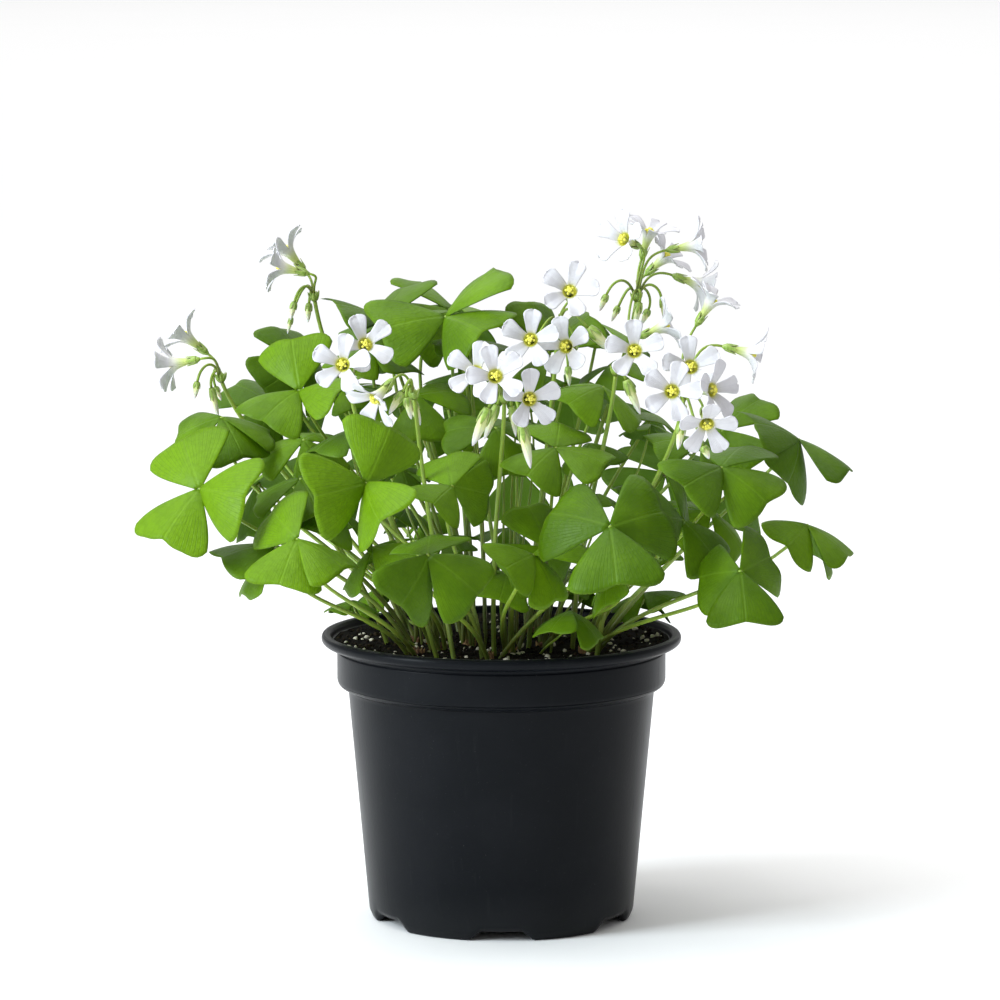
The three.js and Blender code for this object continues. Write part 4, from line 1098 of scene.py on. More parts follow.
def add_leaflets(surface, hubs, lengths, frames, axis, thickness, wave, tones, seed):
    """Adds the leaflets. A point s along and w across a leaflet of length L lies at the hub +
    L(s cos a along - s sin a face + w cos f across - r sin f normal): the blade arches down by a,
    half the droop at its place, and its halves fold down by f from a rounded crease, r = |w| past
    it. Each half swells a little between crease and edge, and the edge waves."""
    random = np.random.default_rng(seed)
    along, across, face = (way[..., None, None, :] for way in frames)
    shape = (len(hubs), 3, 1, 1)
    s, w, uv = leaflet_outline(random, shape)
    arc = np.radians(BLADE_DROOP + random.uniform(*DROOP_SPREAD, shape)) * (s / 2 - BLADE_LEVEL)
    bend = 2 * arc + np.radians(BLADE_DROOP) * BLADE_LEVEL
    fold = np.radians(BLADE_FOLD + random.uniform(*FOLD_SPREAD, shape))
    normal = face * np.cos(bend)[..., None] + along * np.sin(bend)[..., None]
    crease = np.sqrt(w**2 + CREASE**2) - CREASE
    u, out = np.abs(uv[..., 0] * 2 - 1), uv[..., 1]
    phase = random.uniform(0, 2 * np.pi, shape)
    ripple = np.sin(uv[..., 0] * random.uniform(*EDGE_RIPPLES, shape) + phase) * out**3
    dimple = np.sin(7 * out + phase) * np.cos(5 * u + 2 * phase) * out * u
    swell = HALF_SWELL * np.sin(np.pi * u) * out + wave * (ripple + DIMPLE_SHARE * dimple)
    swell = swell - CORNER_DROP * out**4 * u**2
    size = np.reshape(lengths, (-1, 1, 1, 1))
    height = (swell - crease * np.sin(fold)) * size
    flat = (s * np.cos(arc))[..., None] * along - (s * np.sin(arc))[..., None] * face
    flat = flat + (w * np.cos(fold))[..., None] * across
    upward = np.sum(frames[2] * axis[:, None], axis=-1) > 0
    hub = hubs[:, None, None, None] + axis[:, None, None, None] * HUB_LIFT
    place = hub + size[..., None] * flat
    edge = thickness / 2 * (1 - EDGE_THINNING * out**8) * np.ones_like(height)
    rows, cols = s.shape[-2:]
    top = (place + (height + edge)[..., None] * normal).reshape(-1, rows, cols, 3)
    bottom = (place + (height - edge)[..., None] * normal).reshape(-1, rows, cols, 3)
    add_sheets(surface, top, bottom, uv, turned=~upward.ravel(), tone=tones.ravel())


VEINS = 22
LEAFLET_TONES = (-0.15, 0.15)
END_RIPPLES = (6, 13)
EDGE_RIPPLES = (9, 15)
DIMPLE_SHARE = 0.6
PETIOLE_TIP = 0.5


def leaf_blade(colours):
    """A thin green blade: lighter along the midrib, darker along the fan of veins and at the hub,
    yellower in young leaves, paler and duller underneath. Light comes through it."""
    finish = Finish("leaf", specular_ior_level=0.16)
    u, out = finish.uv()
    side, tone = finish.number("side"), finish.number("tone")
    across = abs(u * 2 - 1)
    midrib = (across * out).step(0.045, 0.005)
    drift = finish.noise(160, 2) - 0.5
    fan = abs(((u + drift * 0.02) * VEINS * np.pi).math("SINE")).step(0.4, 0.0) * out.step(0.15, 0.5)
    forks = abs(((u + drift * 0.03) * 2 * VEINS * np.pi).math("SINE")).step(0.3, 0.0) * out.step(0.55, 0.8)
    veins = fan.math("MAXIMUM", forks * 0.7)
    patch = finish.noise(70, 3)
    fine = finish.noise(1400, 3)
    net = finish.spots(560).step(0.35, 0.75)
    age = (tone + (patch - 0.5) * 1.5).step(-0.1, 1.1)
    shade = finish.mix(age, colours.leaf, colours.leaf_young)
    shade = finish.mix(out.step(0.4, 0.0) * 0.3, shade, LEAF_HUB)
    shade = finish.mix(net * 0.12, shade, LEAF_NET)
    shade = finish.mix(veins * 0.34, shade, LEAF_VEIN)
    shade = finish.mix(midrib * 0.15, shade, LEAF_MIDRIB)
    shade = finish.mix((fine - 0.5).step(0.0, 0.3) * 0.15, shade, LEAF_FLECK)
    shade = finish.mix(out.step(0.97, 1.0) * 0.3, shade, LEAF_EDGE)
    shade = finish.mix(side * 0.7, shade, colours.leaf_under)
    finish.set("base_color", shade)
    finish.set("roughness", 0.4 + side * 0.2 + (fine - 0.5) * 0.25)
    finish.bump(fine * 0.4 + net * 0.5 - veins * 0.5 - midrib, 0.00012)
    finish.through(colours.leaf_glow, 0.2)
    return finish.material


def green_stalk(colours, name, foot_and_shade_share):
    """A juicy stalk: pale green, with a brown-red foot that is also darkened as painted shade from the
    leaves above, fine ribs along it and a soft gloss.
    """
    finish = Finish(name, subsurface_weight=0.12, subsurface_scale=0.002)
    around, along = finish.uv()
    streak = finish.noise(700, 2, (1, 1, 0.06))
    # Painted shade: toward the soil the stalk turns to the brown-red foot colour, which is darkened to
    # stand for the shade under the leaves.
    foot = along.step(0.55, 0.02)
    shade = finish.mix(foot * foot_and_shade_share, colours.stalk, colours.stalk_foot_and_shade)
    shade = finish.mix((streak - 0.5).step(-0.1, 0.25) * 0.35, shade, STALK_STREAK)
    finish.set("base_color", shade)
    finish.set("roughness", 0.42 + (streak - 0.5) * 0.3)
    finish.bump(streak, 0.0001)
    return finish.material


def crown_scale(colours):
    """Brown-red scales at the foot of a tuft."""
    finish = Finish("crown_scale", roughness=0.7)
    streak = finish.noise(900, 3, (1, 1, 0.2))
    finish.set("base_color", finish.mix(streak.step(0.35, 0.7), SCALE_BROWN, SCALE_STRAW))
    finish.bump(streak, 0.0002)
    return finish.material


SCALE_PROFILE = (0.55, 0.95, 1, 0.8, 0.45, 0.08)
SCALE_SIDES = 8
# Scales of a crown and of a knob: count, height, width and spread in degrees
CROWN_SCALES = (9, 5.2, 0.95, 28)
KNOB_SCALES = (8, 4.2, 0.62, 34)
KNOB_SCALE_DEPTH = 2.0
SCALE_SHIFT = 0.3
SCALE_LEANS = (0.7, 1.3)
SCALE_BEND = 0.25


def add_scales(surface, place, count, height, width, spread, seed, slot=0):
    """Adds pointed scales round a place: spindles that start at it and lean outward by the spread,
    in degrees, each a little turned, and bend upright toward their tips."""
    random = np.random.default_rng(seed)
    turn = 2 * np.pi * (np.arange(count) + random.uniform(-SCALE_SHIFT, SCALE_SHIFT, count)) / count
    lean = np.radians(spread * random.uniform(*SCALE_LEANS, count))
    t = np.linspace(0, 1, len(SCALE_PROFILE))[None, :, None]
    out = np.stack([np.cos(turn), np.sin(turn), np.zeros(count)], axis=-1)[:, None]
    way = out * np.sin(lean)[:, None, None] + UP * np.cos(lean)[:, None, None]
    paths = place + height * (t * way + SCALE_BEND * t**2 * (UP - way)) + out * width / 2
    add_tubes(surface, paths, width * np.array(SCALE_PROFILE), SCALE_SIDES, slot)


def add_blades(surface, leaves, tones, sizes, seed, steps):
    """Adds the leaflets of leaves, given as their hubs, lengths, attitudes, roots and bends. Returns
    the leaves' ways up and the middle lines of their petioles."""
    hubs, lengths, angles, roots, bends = leaves
    frames = attitudes(angles)
    axis = facing(frames[0], frames[2])
    thickness = sizes.leaf_thickness / MM
    add_leaflets(surface, hubs, lengths, frames, axis, thickness, sizes.leaf_wave, tones, seed)
    return axis, petiole_paths(roots, hubs, axis, bends, steps)


def cells(points):
    """The cells of a coarse lattice that points lie in, as one number each: its three counts, from a
    far corner, are the digits of a number to the base of CELL_COUNT."""
    place = np.floor(np.reshape(points, (-1, 3)) / YOUNG_CELL).astype(int) + CELL_COUNT // 2
    return set((place @ [CELL_COUNT**2, CELL_COUNT, 1]).tolist())


def young_leaves(sizes, filled):
    """Young leaves in the gaps inside the plant, as add_blades takes them. Leaves are tried at random
    places of a dome, and each one that shares no cell with what grows there is kept."""
    random = np.random.default_rng(YOUNG_SEED)
    radius = np.sqrt(random.uniform(YOUNG_INNER**2, YOUNG_OUTER**2, YOUNG_TRIES))
    turn = random.uniform(0, 2 * np.pi, YOUNG_TRIES)
    height = random.uniform(YOUNG_LOW, YOUNG_HIGH - YOUNG_DOME * radius)
    hubs = np.stack([radius * np.cos(turn), radius * np.sin(turn), height], axis=-1)
    lengths = random.uniform(*YOUNG_LENGTHS, YOUNG_TRIES)
    headings = random.uniform(0, 360, (YOUNG_TRIES, 1)) + LEAFLET_TURNS
    headings = headings + random.uniform(-YOUNG_TURN_SPREAD, YOUNG_TURN_SPREAD, (YOUNG_TRIES, 3))
    dips = random.uniform(0, YOUNG_MOST_DIP, (YOUNG_TRIES, 3))
    rolls = random.uniform(-YOUNG_MOST_ROLL, YOUNG_MOST_ROLL, (YOUNG_TRIES, 3))
    angles = np.stack([headings, dips, rolls], axis=-1)
    roots = np.column_stack([hubs[:, :2] * YOUNG_LEAN, np.full(YOUNG_TRIES, SOIL_TOP)])
    leaves = (hubs, lengths, angles, roots, np.zeros((YOUNG_TRIES, 2)))
    trial = Surface()
    paths = add_blades(trial, leaves, np.zeros((YOUNG_TRIES, 3)), sizes, YOUNG_SEED, YOUNG_STEPS)[1]
    blades = trial.points[0].reshape(YOUNG_TRIES, -1, 3)
    kept = []
    for i in range(YOUNG_TRIES):
        taken = cells(np.concatenate([blades[i], paths[i, YOUNG_FREE_STEPS:]]))
        if len(kept) < sizes.young_leaves and not taken & filled:
            kept.append(i)
            filled |= taken
    return [part[kept] for part in leaves]


def leaf_numbers(rows):
    """The leaf table's rows as arrays: hubs, lengths, attitudes and bends."""
    hubs = np.array([row[0] for row in rows], float)
    lengths = np.array([row[1] for row in rows], float)
    angles = np.array([row[2] for row in rows], float)
    bends = np.array([row[3] if len(row) > 3 else (0, 0) for row in rows], float)
    return hubs, lengths, angles, bends


class OXALIS_OT_leaves(Operator):
    """Grows the tufts: crowns, petioles and leaves of three leaflets"""

    bl_idname = "oxalis.leaves"
    bl_label = "Leaves"

    def execute(self, context):
        sizes, colours = context.scene.oxalis_sizes, context.scene.oxalis_colours
        finishes = [leaf_blade(colours), green_stalk(colours, "petiole", 0.8), crown_scale(colours)]
        grown = [self.tuft(tuft, seed, sizes) for seed, tuft in enumerate(TUFTS)]
        filled = cells(np.concatenate([points for surface in grown for points in surface.points]))
        for row in STALKS:
            filled |= cells(scape_path(row, SCAPE_TRIAL_STEPS))
        young = young_leaves(sizes, filled)
        crowns = CROWN_PUSH * np.array([tuft["crown"] for tuft in TUFTS], float)
        nearest = np.argmin(np.linalg.norm(young[0][:, None, :2] - crowns, axis=-1), axis=1)
        for seed, (tuft, surface) in enumerate(zip(TUFTS, grown)):
            self.young(surface, [part[nearest == seed] for part in young], sizes, YOUNG_TONE_SEED + seed)
            name = tuft["name"]
            surface.piece(f"foliage_{name}", finishes, f"leaves_{name}", "leaf")
        return {"FINISHED"}

    def young(self, surface, leaves, sizes, seed):
        """Adds young leaves on thin petioles."""
        count = len(leaves[0])
        if not count:
            return
        tones = np.random.default_rng(seed).uniform(*YOUNG_TONES, (count, 3))
        paths = add_blades(surface, leaves, tones, sizes, seed, PETIOLE_STEPS)[1]
        taper = np.linspace(1, YOUNG_TAPER, PETIOLE_STEPS + 1)
        add_tubes(surface, paths, YOUNG_PETIOLE * sizes.petiole_width / MM * taper, YOUNG_SIDES, slot=1)

    def tuft(self, tuft, seed, sizes):
        """One tuft's leaves, petioles and crown, as a surface."""
        surface = Surface()
        hubs, lengths, angles, bends = leaf_numbers(tuft["leaves"])
        random = np.random.default_rng(TUFT_SEED + seed)
        tones = random.uniform(0, 1, (len(hubs), 1)) + random.uniform(*LEAFLET_TONES, (len(hubs), 3))
        crown = np.array(tuft["crown"], float)
        leaves = (hubs, lengths, angles, leaf_roots(crown, hubs), bends)
        axis, paths = add_blades(surface, leaves, tones, sizes, seed, PETIOLE_STEPS)
        radii = sizes.petiole_width / MM / 2 * np.linspace(1, PETIOLE_TAPER, PETIOLE_STEPS + 1)
        radii[-1] *= PETIOLE_TIP
        add_tubes(surface, paths, radii, PETIOLE_SIDES, slot=1)
        stations = np.linspace(*HEEL_REACH, len(HEEL_PROFILE))[None, :, None]
        heels = hubs[:, None] + axis[:, None] * stations
        add_tubes(surface, heels, HEEL_RADIUS * np.array(HEEL_PROFILE), PETIOLE_SIDES, slot=1)
        base = np.array([*crown, SOIL_TOP + SOIL_HEAP - CROWN_DEPTH])
        heights, radii = np.array(CROWN_PROFILE).T
        add_tubes(surface, (base + UP * heights[:, None])[None], radii, CROWN_SIDES, slot=2)
        add_scales(surface, base + UP * heights[1], *CROWN_SCALES, CROWN_SEED + seed, slot=2)
        return surface


# Flower stalks


def scape_path(row, steps):
    """A scape rises from the soil, sways by its bend and comes up under its knob."""
    start = np.array([*row["foot"], SOIL_TOP - SCAPE_DEPTH], float)
    end = np.array(row["top"], float)
    low = start + (end - start) * [SCAPE_SWAY, SCAPE_SWAY, 0.5]
    low[:2] += row["bend"]
    high = start + (end - start) * [SCAPE_SHIFT, SCAPE_SHIFT, 1 - SCAPE_BOW]
    return bezier(start[None], low[None], high[None], (end - UP * SCAPE_SEAT)[None], steps)


def pedicel_paths(knob, ends, directions, lift, steps):
    """Pedicels leave the knob, rise and come to their ends from behind."""
    way = ends - knob
    reach = np.linalg.norm(way, axis=1, keepdims=True)
    out = way / reach
    out[:, 2] = np.maximum(out[:, 2], PEDICEL_LEAST_RISE)
    start = knob + PEDICEL_START * out
    rise = start + PEDICEL_SWAY * way * [1, 1, 0] + (PEDICEL_RISE * reach + lift) * UP
    back = ends - (PEDICEL_REACH * reach + lift) * directions
    return bezier(start, rise, back, ends, steps)


LOBE_ROWS = 9
LOBE_COLS = 7
LOBE_THICKNESS = 0.22
LOBE_LEAST_RADIUS = 0.8


def add_lobes(surface, feet, directions, radii, lengths, width, count, turns, slot=0):
    """Adds pointed lobes round an axis, such as sepals: at share p of the length a lobe stands off
    the axis by a radius drawn between the given ones, and is width (1 - p^2.2)^0.7 wide, rounded
    round the axis."""
    p = np.linspace(0, 1, LOBE_ROWS)[:, None]
    q = np.linspace(-1, 1, LOBE_COLS)[None, :]
    turn = turns[:, None] + 2 * np.pi * np.arange(count) / count
    half = width * np.maximum(1 - p**2.2, 0.0025) ** 0.7
    out = np.interp(p, np.linspace(0, 1, len(radii)), radii)
    angle = turn[..., None, None] + half * q / np.maximum(out, LOBE_LEAST_RADIUS)
    u, v = (way[:, None, None, None] for way in wheel(directions))
    spoke = u * np.cos(angle)[..., None] + v * np.sin(angle)[..., None]
    reach = (p * np.ones_like(q))[..., None] * np.reshape(lengths, (-1, 1, 1, 1, 1))
    middle = feet[:, None, None, None] + directions[:, None, None, None] * reach
    spread = (out * np.ones_like(q))[..., None]
    inner = (middle + spoke * spread).reshape(-1, LOBE_ROWS, LOBE_COLS, 3)
    outer = (middle + spoke * (spread + LOBE_THICKNESS)).reshape(-1, LOBE_ROWS, LOBE_COLS, 3)
    uv = np.stack(np.broadcast_arrays((q + 1) / 2, p), axis=-1)
    add_sheets(surface, inner, outer, uv, slot)


KNOB_PROFILE = ((-2.2, 0.8), (-1.4, 1.4), (-0.4, 1.7), (0.6, 1.4), (1.4, 0.6))
SCAPE_STEPS = 28
SCAPE_TAPER = 0.8
SCAPE_SIDES = 12
PEDICEL_STEPS = 14
PEDICEL_SIDES = 8
PEDICEL_RADIUS = 0.46
BUD_PEDICEL_RADIUS = 0.5
CALYX_PROFILE = ((-0.4, 0.5), (0.2, 0.85), (0.9, 1.2), (1.6, 1.32), (2.3, 1.3), (2.75, 1.22))
CALYX_SIDES = 12
SEPAL_START = 0.9
SEPAL_RADII = (1.1, 1.34, 1.42, 1.6)
SEPAL_LENGTHS = (3.6, 4.2)
SEPAL_HALF_WIDTH = 0.82
BUD_SEPAL_SHARE = 0.42
BUD_SEPAL_LEAST = 0.08
# A bud's outline: share of its length and share of its radius
BUD_PROFILE = (
    (0, 0.42), (0.06, 0.72), (0.18, 0.95), (0.34, 1.02), (0.55, 0.93), (0.75, 0.72),
    (0.9, 0.42), (0.98, 0.16), (1.0, 0.04),
)
BUD_SLIMNESS = 0.8
BUD_SIDES = 14
BUD_SEPAL_RADII = (0.56, 0.84, 0.92, 0.86)
BUD_SEPAL_LENGTH = 0.42


def bud_finish(colours):
    """A closed bud: white petals furled in a spiral, greenish toward the calyx."""
    finish = Finish("bud", roughness=0.5, subsurface_weight=0.15, subsurface_scale=0.002)
    around, along = finish.uv()
    furl = abs(((around * 5 + along * 2.2) * np.pi).math("SINE")).step(0.25, 0.0)
    shade = finish.mix(along.step(0.85, 0.3), colours.petal, BUD_FOOT)
    shade = finish.mix(furl * 0.3, shade, BUD_FURL)
    shade = finish.mix(finish.noise(900, 2).step(0.5, 0.8) * 0.2, shade, BUD_LILAC)
    finish.set("base_color", shade)
    finish.bump(furl * -1, 0.00012)
    return finish.material


def sepal_finish(colours):
    """Green sepals with pale edges and an ochre tip."""
    finish = Finish("sepal", roughness=0.5)
    across, along = finish.uv()
    rim = abs(across * 2 - 1).step(0.55, 1.0)
    shade = finish.mix(finish.noise(800, 2).step(0.3, 0.7), SEPAL_GREEN, SEPAL_LIGHT)
    shade = finish.mix(rim * 0.5, shade, SEPAL_RIM)
    shade = finish.mix(along.step(0.82, 0.98) * 0.3, shade, SEPAL_TIP)
    finish.set("base_color", shade)
    finish.bump(finish.noise(1500, 2), 0.00008)
    return finish.material


class OXALIS_OT_stalks(Operator):
    """Raises the flower stalks with their knobs, pedicels, calyces and buds"""

    bl_idname = "oxalis.stalks"
    bl_label = "Flower stalks"

    def execute(self, context):
        sizes, colours = context.scene.oxalis_sizes, context.scene.oxalis_colours
        finishes = [green_stalk(colours, "flower_stalk", 0.6), sepal_finish(colours), bud_finish(colours)]
        for seed, row in enumerate(STALKS):
            self.stalk(row, seed, sizes, finishes)
        return {"FINISHED"}

    def stalk(self, row, seed, sizes, finishes):
        surface = Surface()
        knob = np.array(row["top"], float)
        radii = sizes.scape_width / MM / 2 * np.linspace(1, SCAPE_TAPER, SCAPE_STEPS + 1)
        add_tubes(surface, scape_path(row, SCAPE_STEPS), radii, SCAPE_SIDES)
        add_scales(surface, knob - UP * KNOB_SCALE_DEPTH, *KNOB_SCALES, KNOB_SEED + seed, slot=1)
        heights, radii = np.array(KNOB_PROFILE).T
        add_tubes(surface, (knob + UP * heights[:, None])[None], radii, SCAPE_SIDES)
        random = np.random.default_rng(STALK_SEED + seed)
        self.calyces(surface, knob, row["blooms"], random)
        if row["buds"]:
            self.buds(surface, knob, row["buds"], random)
        surface.piece(f"scape_{row['name']}", finishes, f"stalk_{row['name']}", "flower_stalk")

    def calyces(self, surface, knob, blooms, random):
        """Each bloom's pedicel, its cup and five sepals that lie along the tube of petals."""
        throats = np.array([bloom[0] for bloom in blooms], float)
        directions = outlook(*np.array([bloom[1:3] for bloom in blooms], float).T)
        ends = throats - (TUBE_LENGTH + CALYX_GAP + CALYX_LENGTH) * directions
        paths = pedicel_paths(knob, ends, directions, 0, PEDICEL_STEPS)
        add_tubes(surface, paths, PEDICEL_RADIUS, PEDICEL_SIDES)
        stations, radii = np.array(CALYX_PROFILE).T
        cups = ends[:, None] + directions[:, None] * stations[None, :, None]
        add_tubes(surface, cups, radii, CALYX_SIDES, slot=1)
        turns = random.uniform(0, 2 * np.pi, len(ends))
        lengths = random.uniform(*SEPAL_LENGTHS, len(ends))
        feet = ends + SEPAL_START * directions
        sepals = (SEPAL_RADII, lengths, SEPAL_HALF_WIDTH, PETAL_COUNT, turns)
        add_lobes(surface, feet, directions, *sepals, slot=1)

    def buds(self, surface, knob, rows, random):
        """Each bud's pedicel, its furled petals and the sepals round their lower half."""
        ends = np.array([bud[0] for bud in rows], float)
        ways = np.array([bud[1] for bud in rows], float) - ends
        radii = np.array([bud[2] for bud in rows], float)[:, None]
        lengths = np.linalg.norm(ways, axis=1, keepdims=True)
        directions = ways / lengths
        pedicels = pedicel_paths(knob, ends, directions, BUD_LIFT, PEDICEL_STEPS)
        add_tubes(surface, pedicels, BUD_PEDICEL_RADIUS, PEDICEL_SIDES)
        stations, swell = np.array(BUD_PROFILE).T
        paths = ends[:, None] + ways[:, None] * stations[None, :, None]
        add_tubes(surface, paths, radii * swell * BUD_SLIMNESS, BUD_SIDES, slot=2)
        turns = random.uniform(0, 2 * np.pi, len(ends))
        for i in range(len(ends)):
            profile = radii[i] * np.array(BUD_SEPAL_RADII)
            half_width = BUD_SEPAL_SHARE * radii[i, 0] + BUD_SEPAL_LEAST
            sepals = (profile, lengths[i] * BUD_SEPAL_LENGTH, half_width, PETAL_COUNT, turns[i:i + 1])
            add_lobes(surface, ends[i:i + 1], directions[i:i + 1], *sepals, slot=1)


# Flowers

PETAL_ROWS = 20
PETAL_COLS = 11
# A petal's middle: distance forward of the throat and distance out from the flower's axis
PETAL_CURVE = ((-8.4, 0.8), (-1.0, 1.9), (0.2, 2.4), (1.9, 10.4))
PETAL_WIDEST = 8.2
TUBE_EDGE = 2.2
TUBE_END = 2.0
BLADE_FLAT = 5
BLADE_START = 3
BLADE_FULL = 7
FOOT_SHARE = 0.6
PETAL_LIFT = (-0.3, 0.5)
PETAL_WAVE = 0.14
PETAL_CUP = 0.5
PETAL_GROOVE = 0.16
GROOVE_WIDTH = 0.14
TIP_DROP = 0.5
TIP_START = 8
PETAL_SPREAD = 3
STAMEN_FOOT = 0.6
STAMEN_START = 0.25
# Long and short stamens: anther's place forward of the throat, distance out and shift in degrees
STAMEN_WHORLS = ((-0.3, 0.5, 0.0), (-0.9, 1.3, 36.0))
STAMEN_ROWS = 6
STAMEN_SHIFT = 0.2
FILAMENT_RADIUS = 0.1
FILAMENT_SIDES = 5
ANTHER_SIDES = 7
ANTHER_REACH = (-0.35, 0.75)
ANTHER_PROFILE = (0.2, 0.46, 0.52, 0.44, 0.16)


def petal_grid(width, frames, throats, turns, random):
    """Petals, (flowers x 5, rows, cols, 3). From foot to tip, p, a petal's middle follows a cubic
    curve of distance forward and distance out from the flower's axis. It is 0.6 of its distance out
    wide on each side in the tube, where it wraps the axis, and widens evenly to its full width
    near the end, which closes as (1 - x^2.4)^0.5, x counted from the widest place. The blade is
    lightly cupped, has a groove in the middle and waves at its edge."""
    direction, u, v = frames
    p = (1 - (1 - np.linspace(0, 1, PETAL_ROWS)) ** 1.35)[:, None]
    q = np.linspace(-1, 1, PETAL_COLS)[None, :]
    points = [np.array([point]) for point in PETAL_CURVE]
    weights = ((1 - p) ** 3, 3 * (1 - p) ** 2 * p, 3 * (1 - p) * p**2, p**3)
    curve = sum(weight * point for weight, point in zip(weights, points))
    forward, out = curve[:, :1], curve[:, 1:]
    tip = PETAL_CURVE[-1][1]
    opening = np.clip((out - TUBE_EDGE) / (PETAL_WIDEST - TUBE_EDGE), 0, 1) ** 0.9
    narrow = FOOT_SHARE * np.minimum(out, TUBE_EDGE)
    half = narrow + (width / 2 - narrow) * opening
    past = np.clip((out - PETAL_WIDEST) / (tip - PETAL_WIDEST), 0, 0.99)
    half = half * (1 - past**2.4) ** 0.5
    shape = (len(throats), PETAL_COUNT, 1, 1)
    across = half * q
    wrap = 1 - smooth(out, TUBE_END, BLADE_FLAT)
    drawn = out - wrap * (out - np.sqrt(np.maximum(out**2 - across**2, 0)))
    lift = random.uniform(*PETAL_LIFT, shape) * smooth(out, BLADE_START, tip)
    wave = PETAL_WAVE * np.sin(q * random.uniform(3, 5, shape) + random.uniform(0, 6, shape) + 3 * p)
    blade = smooth(out, BLADE_START, BLADE_FULL)
    groove = PETAL_GROOVE * np.exp(-((q / GROOVE_WIDTH) ** 2))
    fore = forward + lift + (wave * np.abs(q) + PETAL_CUP * q**2 - groove) * blade
    fore = fore - TIP_DROP * smooth(out, TIP_START, tip)
    spread = np.radians(random.uniform(-PETAL_SPREAD, PETAL_SPREAD, shape))
    places = 2 * np.pi * np.arange(PETAL_COUNT)[:, None, None] / PETAL_COUNT
    angle = turns[:, None, None, None] + places + spread * blade
    axes = [x[:, None, None, None] for x in (direction, u, v)]
    cos, sin = np.cos(angle)[..., None], np.sin(angle)[..., None]
    radial, tangent = axes[1] * cos + axes[2] * sin, axes[2] * cos - axes[1] * sin
    fore, drawn, across = (np.broadcast_to(x, fore.shape)[..., None] for x in (fore, drawn, across))
    grid = throats[:, None, None, None] + axes[0] * fore + radial * drawn + tangent * across
    uv = np.stack(np.broadcast_arrays((q + 1) / 2, out / tip), axis=-1)
    return grid.reshape(-1, PETAL_ROWS, PETAL_COLS, 3), uv


def sheet_normals(grid):
    """The unit normals of point grids, from the steps along their rows and columns."""
    return unit(np.cross(np.gradient(grid, axis=1), np.gradient(grid, axis=2)))


def petal_finish(colours):
    """Thin white petals: pale grey-lilac lines along them, yellow inside the throat, yellow-green
    outside it near the calyx. Light comes through them."""
    finish = Finish("petal")
    across, out = finish.uv()
    drift = finish.noise(500, 2) - 0.5
    lines = abs(((across + drift * 0.03) * 11 * np.pi).math("SINE")).step(0.28, 0.0)
    lines = lines * out.step(0.12, 0.4) * out.step(1.0, 0.7)
    middle = abs(across * 2 - 1).step(0.1, 0.0)
    shade = finish.mix(finish.noise(300, 2).step(0.35, 0.7) * 0.5, colours.petal, PETAL_SHADE)
    shade = finish.mix(lines * 0.2 + middle * 0.14, shade, PETAL_LINE)
    outside = finish.number("side")
    inside = 1 - outside
    shade = finish.mix(out.step(0.34, 0.2) * (0.2 + inside * 0.3), shade, TUBE_CREAM)
    shade = finish.mix(out.step(0.28, 0.22) * inside, shade, colours.throat)
    shade = finish.mix(out.step(0.22, 0.1) * outside * 0.85, shade, TUBE_GREEN)
    finish.set("base_color", shade)
    finish.set("roughness", 0.5 + drift * 0.2)
    finish.bump(lines * -1 + finish.noise(2400, 2) * 0.4, 0.00006)
    finish.through(PETAL_GLOW, 0.14)
    return finish.material


def anther_finish(colours):
    """Grainy yellow anthers."""
    finish = Finish("anther", roughness=0.8)
    grain = finish.noise(5000, 2)
    finish.set("base_color", finish.mix(grain.step(0.4, 0.65), colours.anther, POLLEN))
    finish.bump(grain, 0.0001)
    return finish.material


def filament_finish():
    """Pale green threads of the stamens and styles."""
    finish = Finish("filament", roughness=0.5)
    finish.set("base_color", finish.mix(finish.noise(900, 2), THREAD_GREEN, THREAD_WHITE))
    return finish.material


class OXALIS_OT_flowers(Operator):
    """Opens the flowers: five petals each, with stamens in the throat"""

    bl_idname = "oxalis.flowers"
    bl_label = "Flowers"

    def execute(self, context):
        sizes, colours = context.scene.oxalis_sizes, context.scene.oxalis_colours
        finishes = [petal_finish(colours), anther_finish(colours), filament_finish()]
        for seed, row in enumerate(STALKS):
            for number, bloom in enumerate(row["blooms"], 1):
                name = f"{row['name']}_{number}"
                self.flower(name, bloom, sizes, finishes, FLOWER_SEED + FLOWERS_APART * seed + number)
        return {"FINISHED"}

    def flower(self, name, bloom, sizes, finishes, seed):
        place, heading, rise, turn = bloom
        random = np.random.default_rng(seed)
        throat = np.array([place], float)
        direction = outlook(np.array([heading], float), np.array([rise], float))
        frames = (direction, *wheel(direction))
        turns = np.radians([turn])
        surface = Surface()
        grid, uv = petal_grid(sizes.petal_width / MM, frames, throat, turns, random)
        offset = sheet_normals(grid) * sizes.petal_thickness / MM / 2
        add_sheets(surface, grid + offset, grid - offset, uv)
        self.stamens(surface, throat[0], [axis[0] for axis in frames], turns[0], random)
        surface.piece(f"flower_{name}", finishes, f"corolla_{name}", "petal")

    def stamens(self, surface, throat, frames, turn, random):
        """Five long and five short stamens, threads that spread toward an anther each."""
        direction, u, v = frames
        t = np.linspace(0, 1, STAMEN_ROWS)[None, :, None]
        for tip, radius, shift in STAMEN_WHORLS:
            angle = turn + np.radians(shift) + 2 * np.pi * np.arange(PETAL_COUNT) / PETAL_COUNT
            angle = angle + random.uniform(-STAMEN_SHIFT, STAMEN_SHIFT, PETAL_COUNT)
            out = (np.cos(angle)[:, None] * u + np.sin(angle)[:, None] * v)[:, None]
            foot = throat - (TUBE_LENGTH - STAMEN_FOOT) * direction
            along = direction * (TUBE_LENGTH - STAMEN_FOOT + tip) * t
            paths = foot + along + out * (STAMEN_START + (radius - STAMEN_START) * t**2)
            add_tubes(surface, paths, FILAMENT_RADIUS, FILAMENT_SIDES, slot=2)
            stations = np.linspace(*ANTHER_REACH, len(ANTHER_PROFILE))[None, :, None]
            ends = paths[:, -1:] + direction * stations
            add_tubes(surface, ends, np.array(ANTHER_PROFILE), ANTHER_SIDES, slot=1)


# Stage

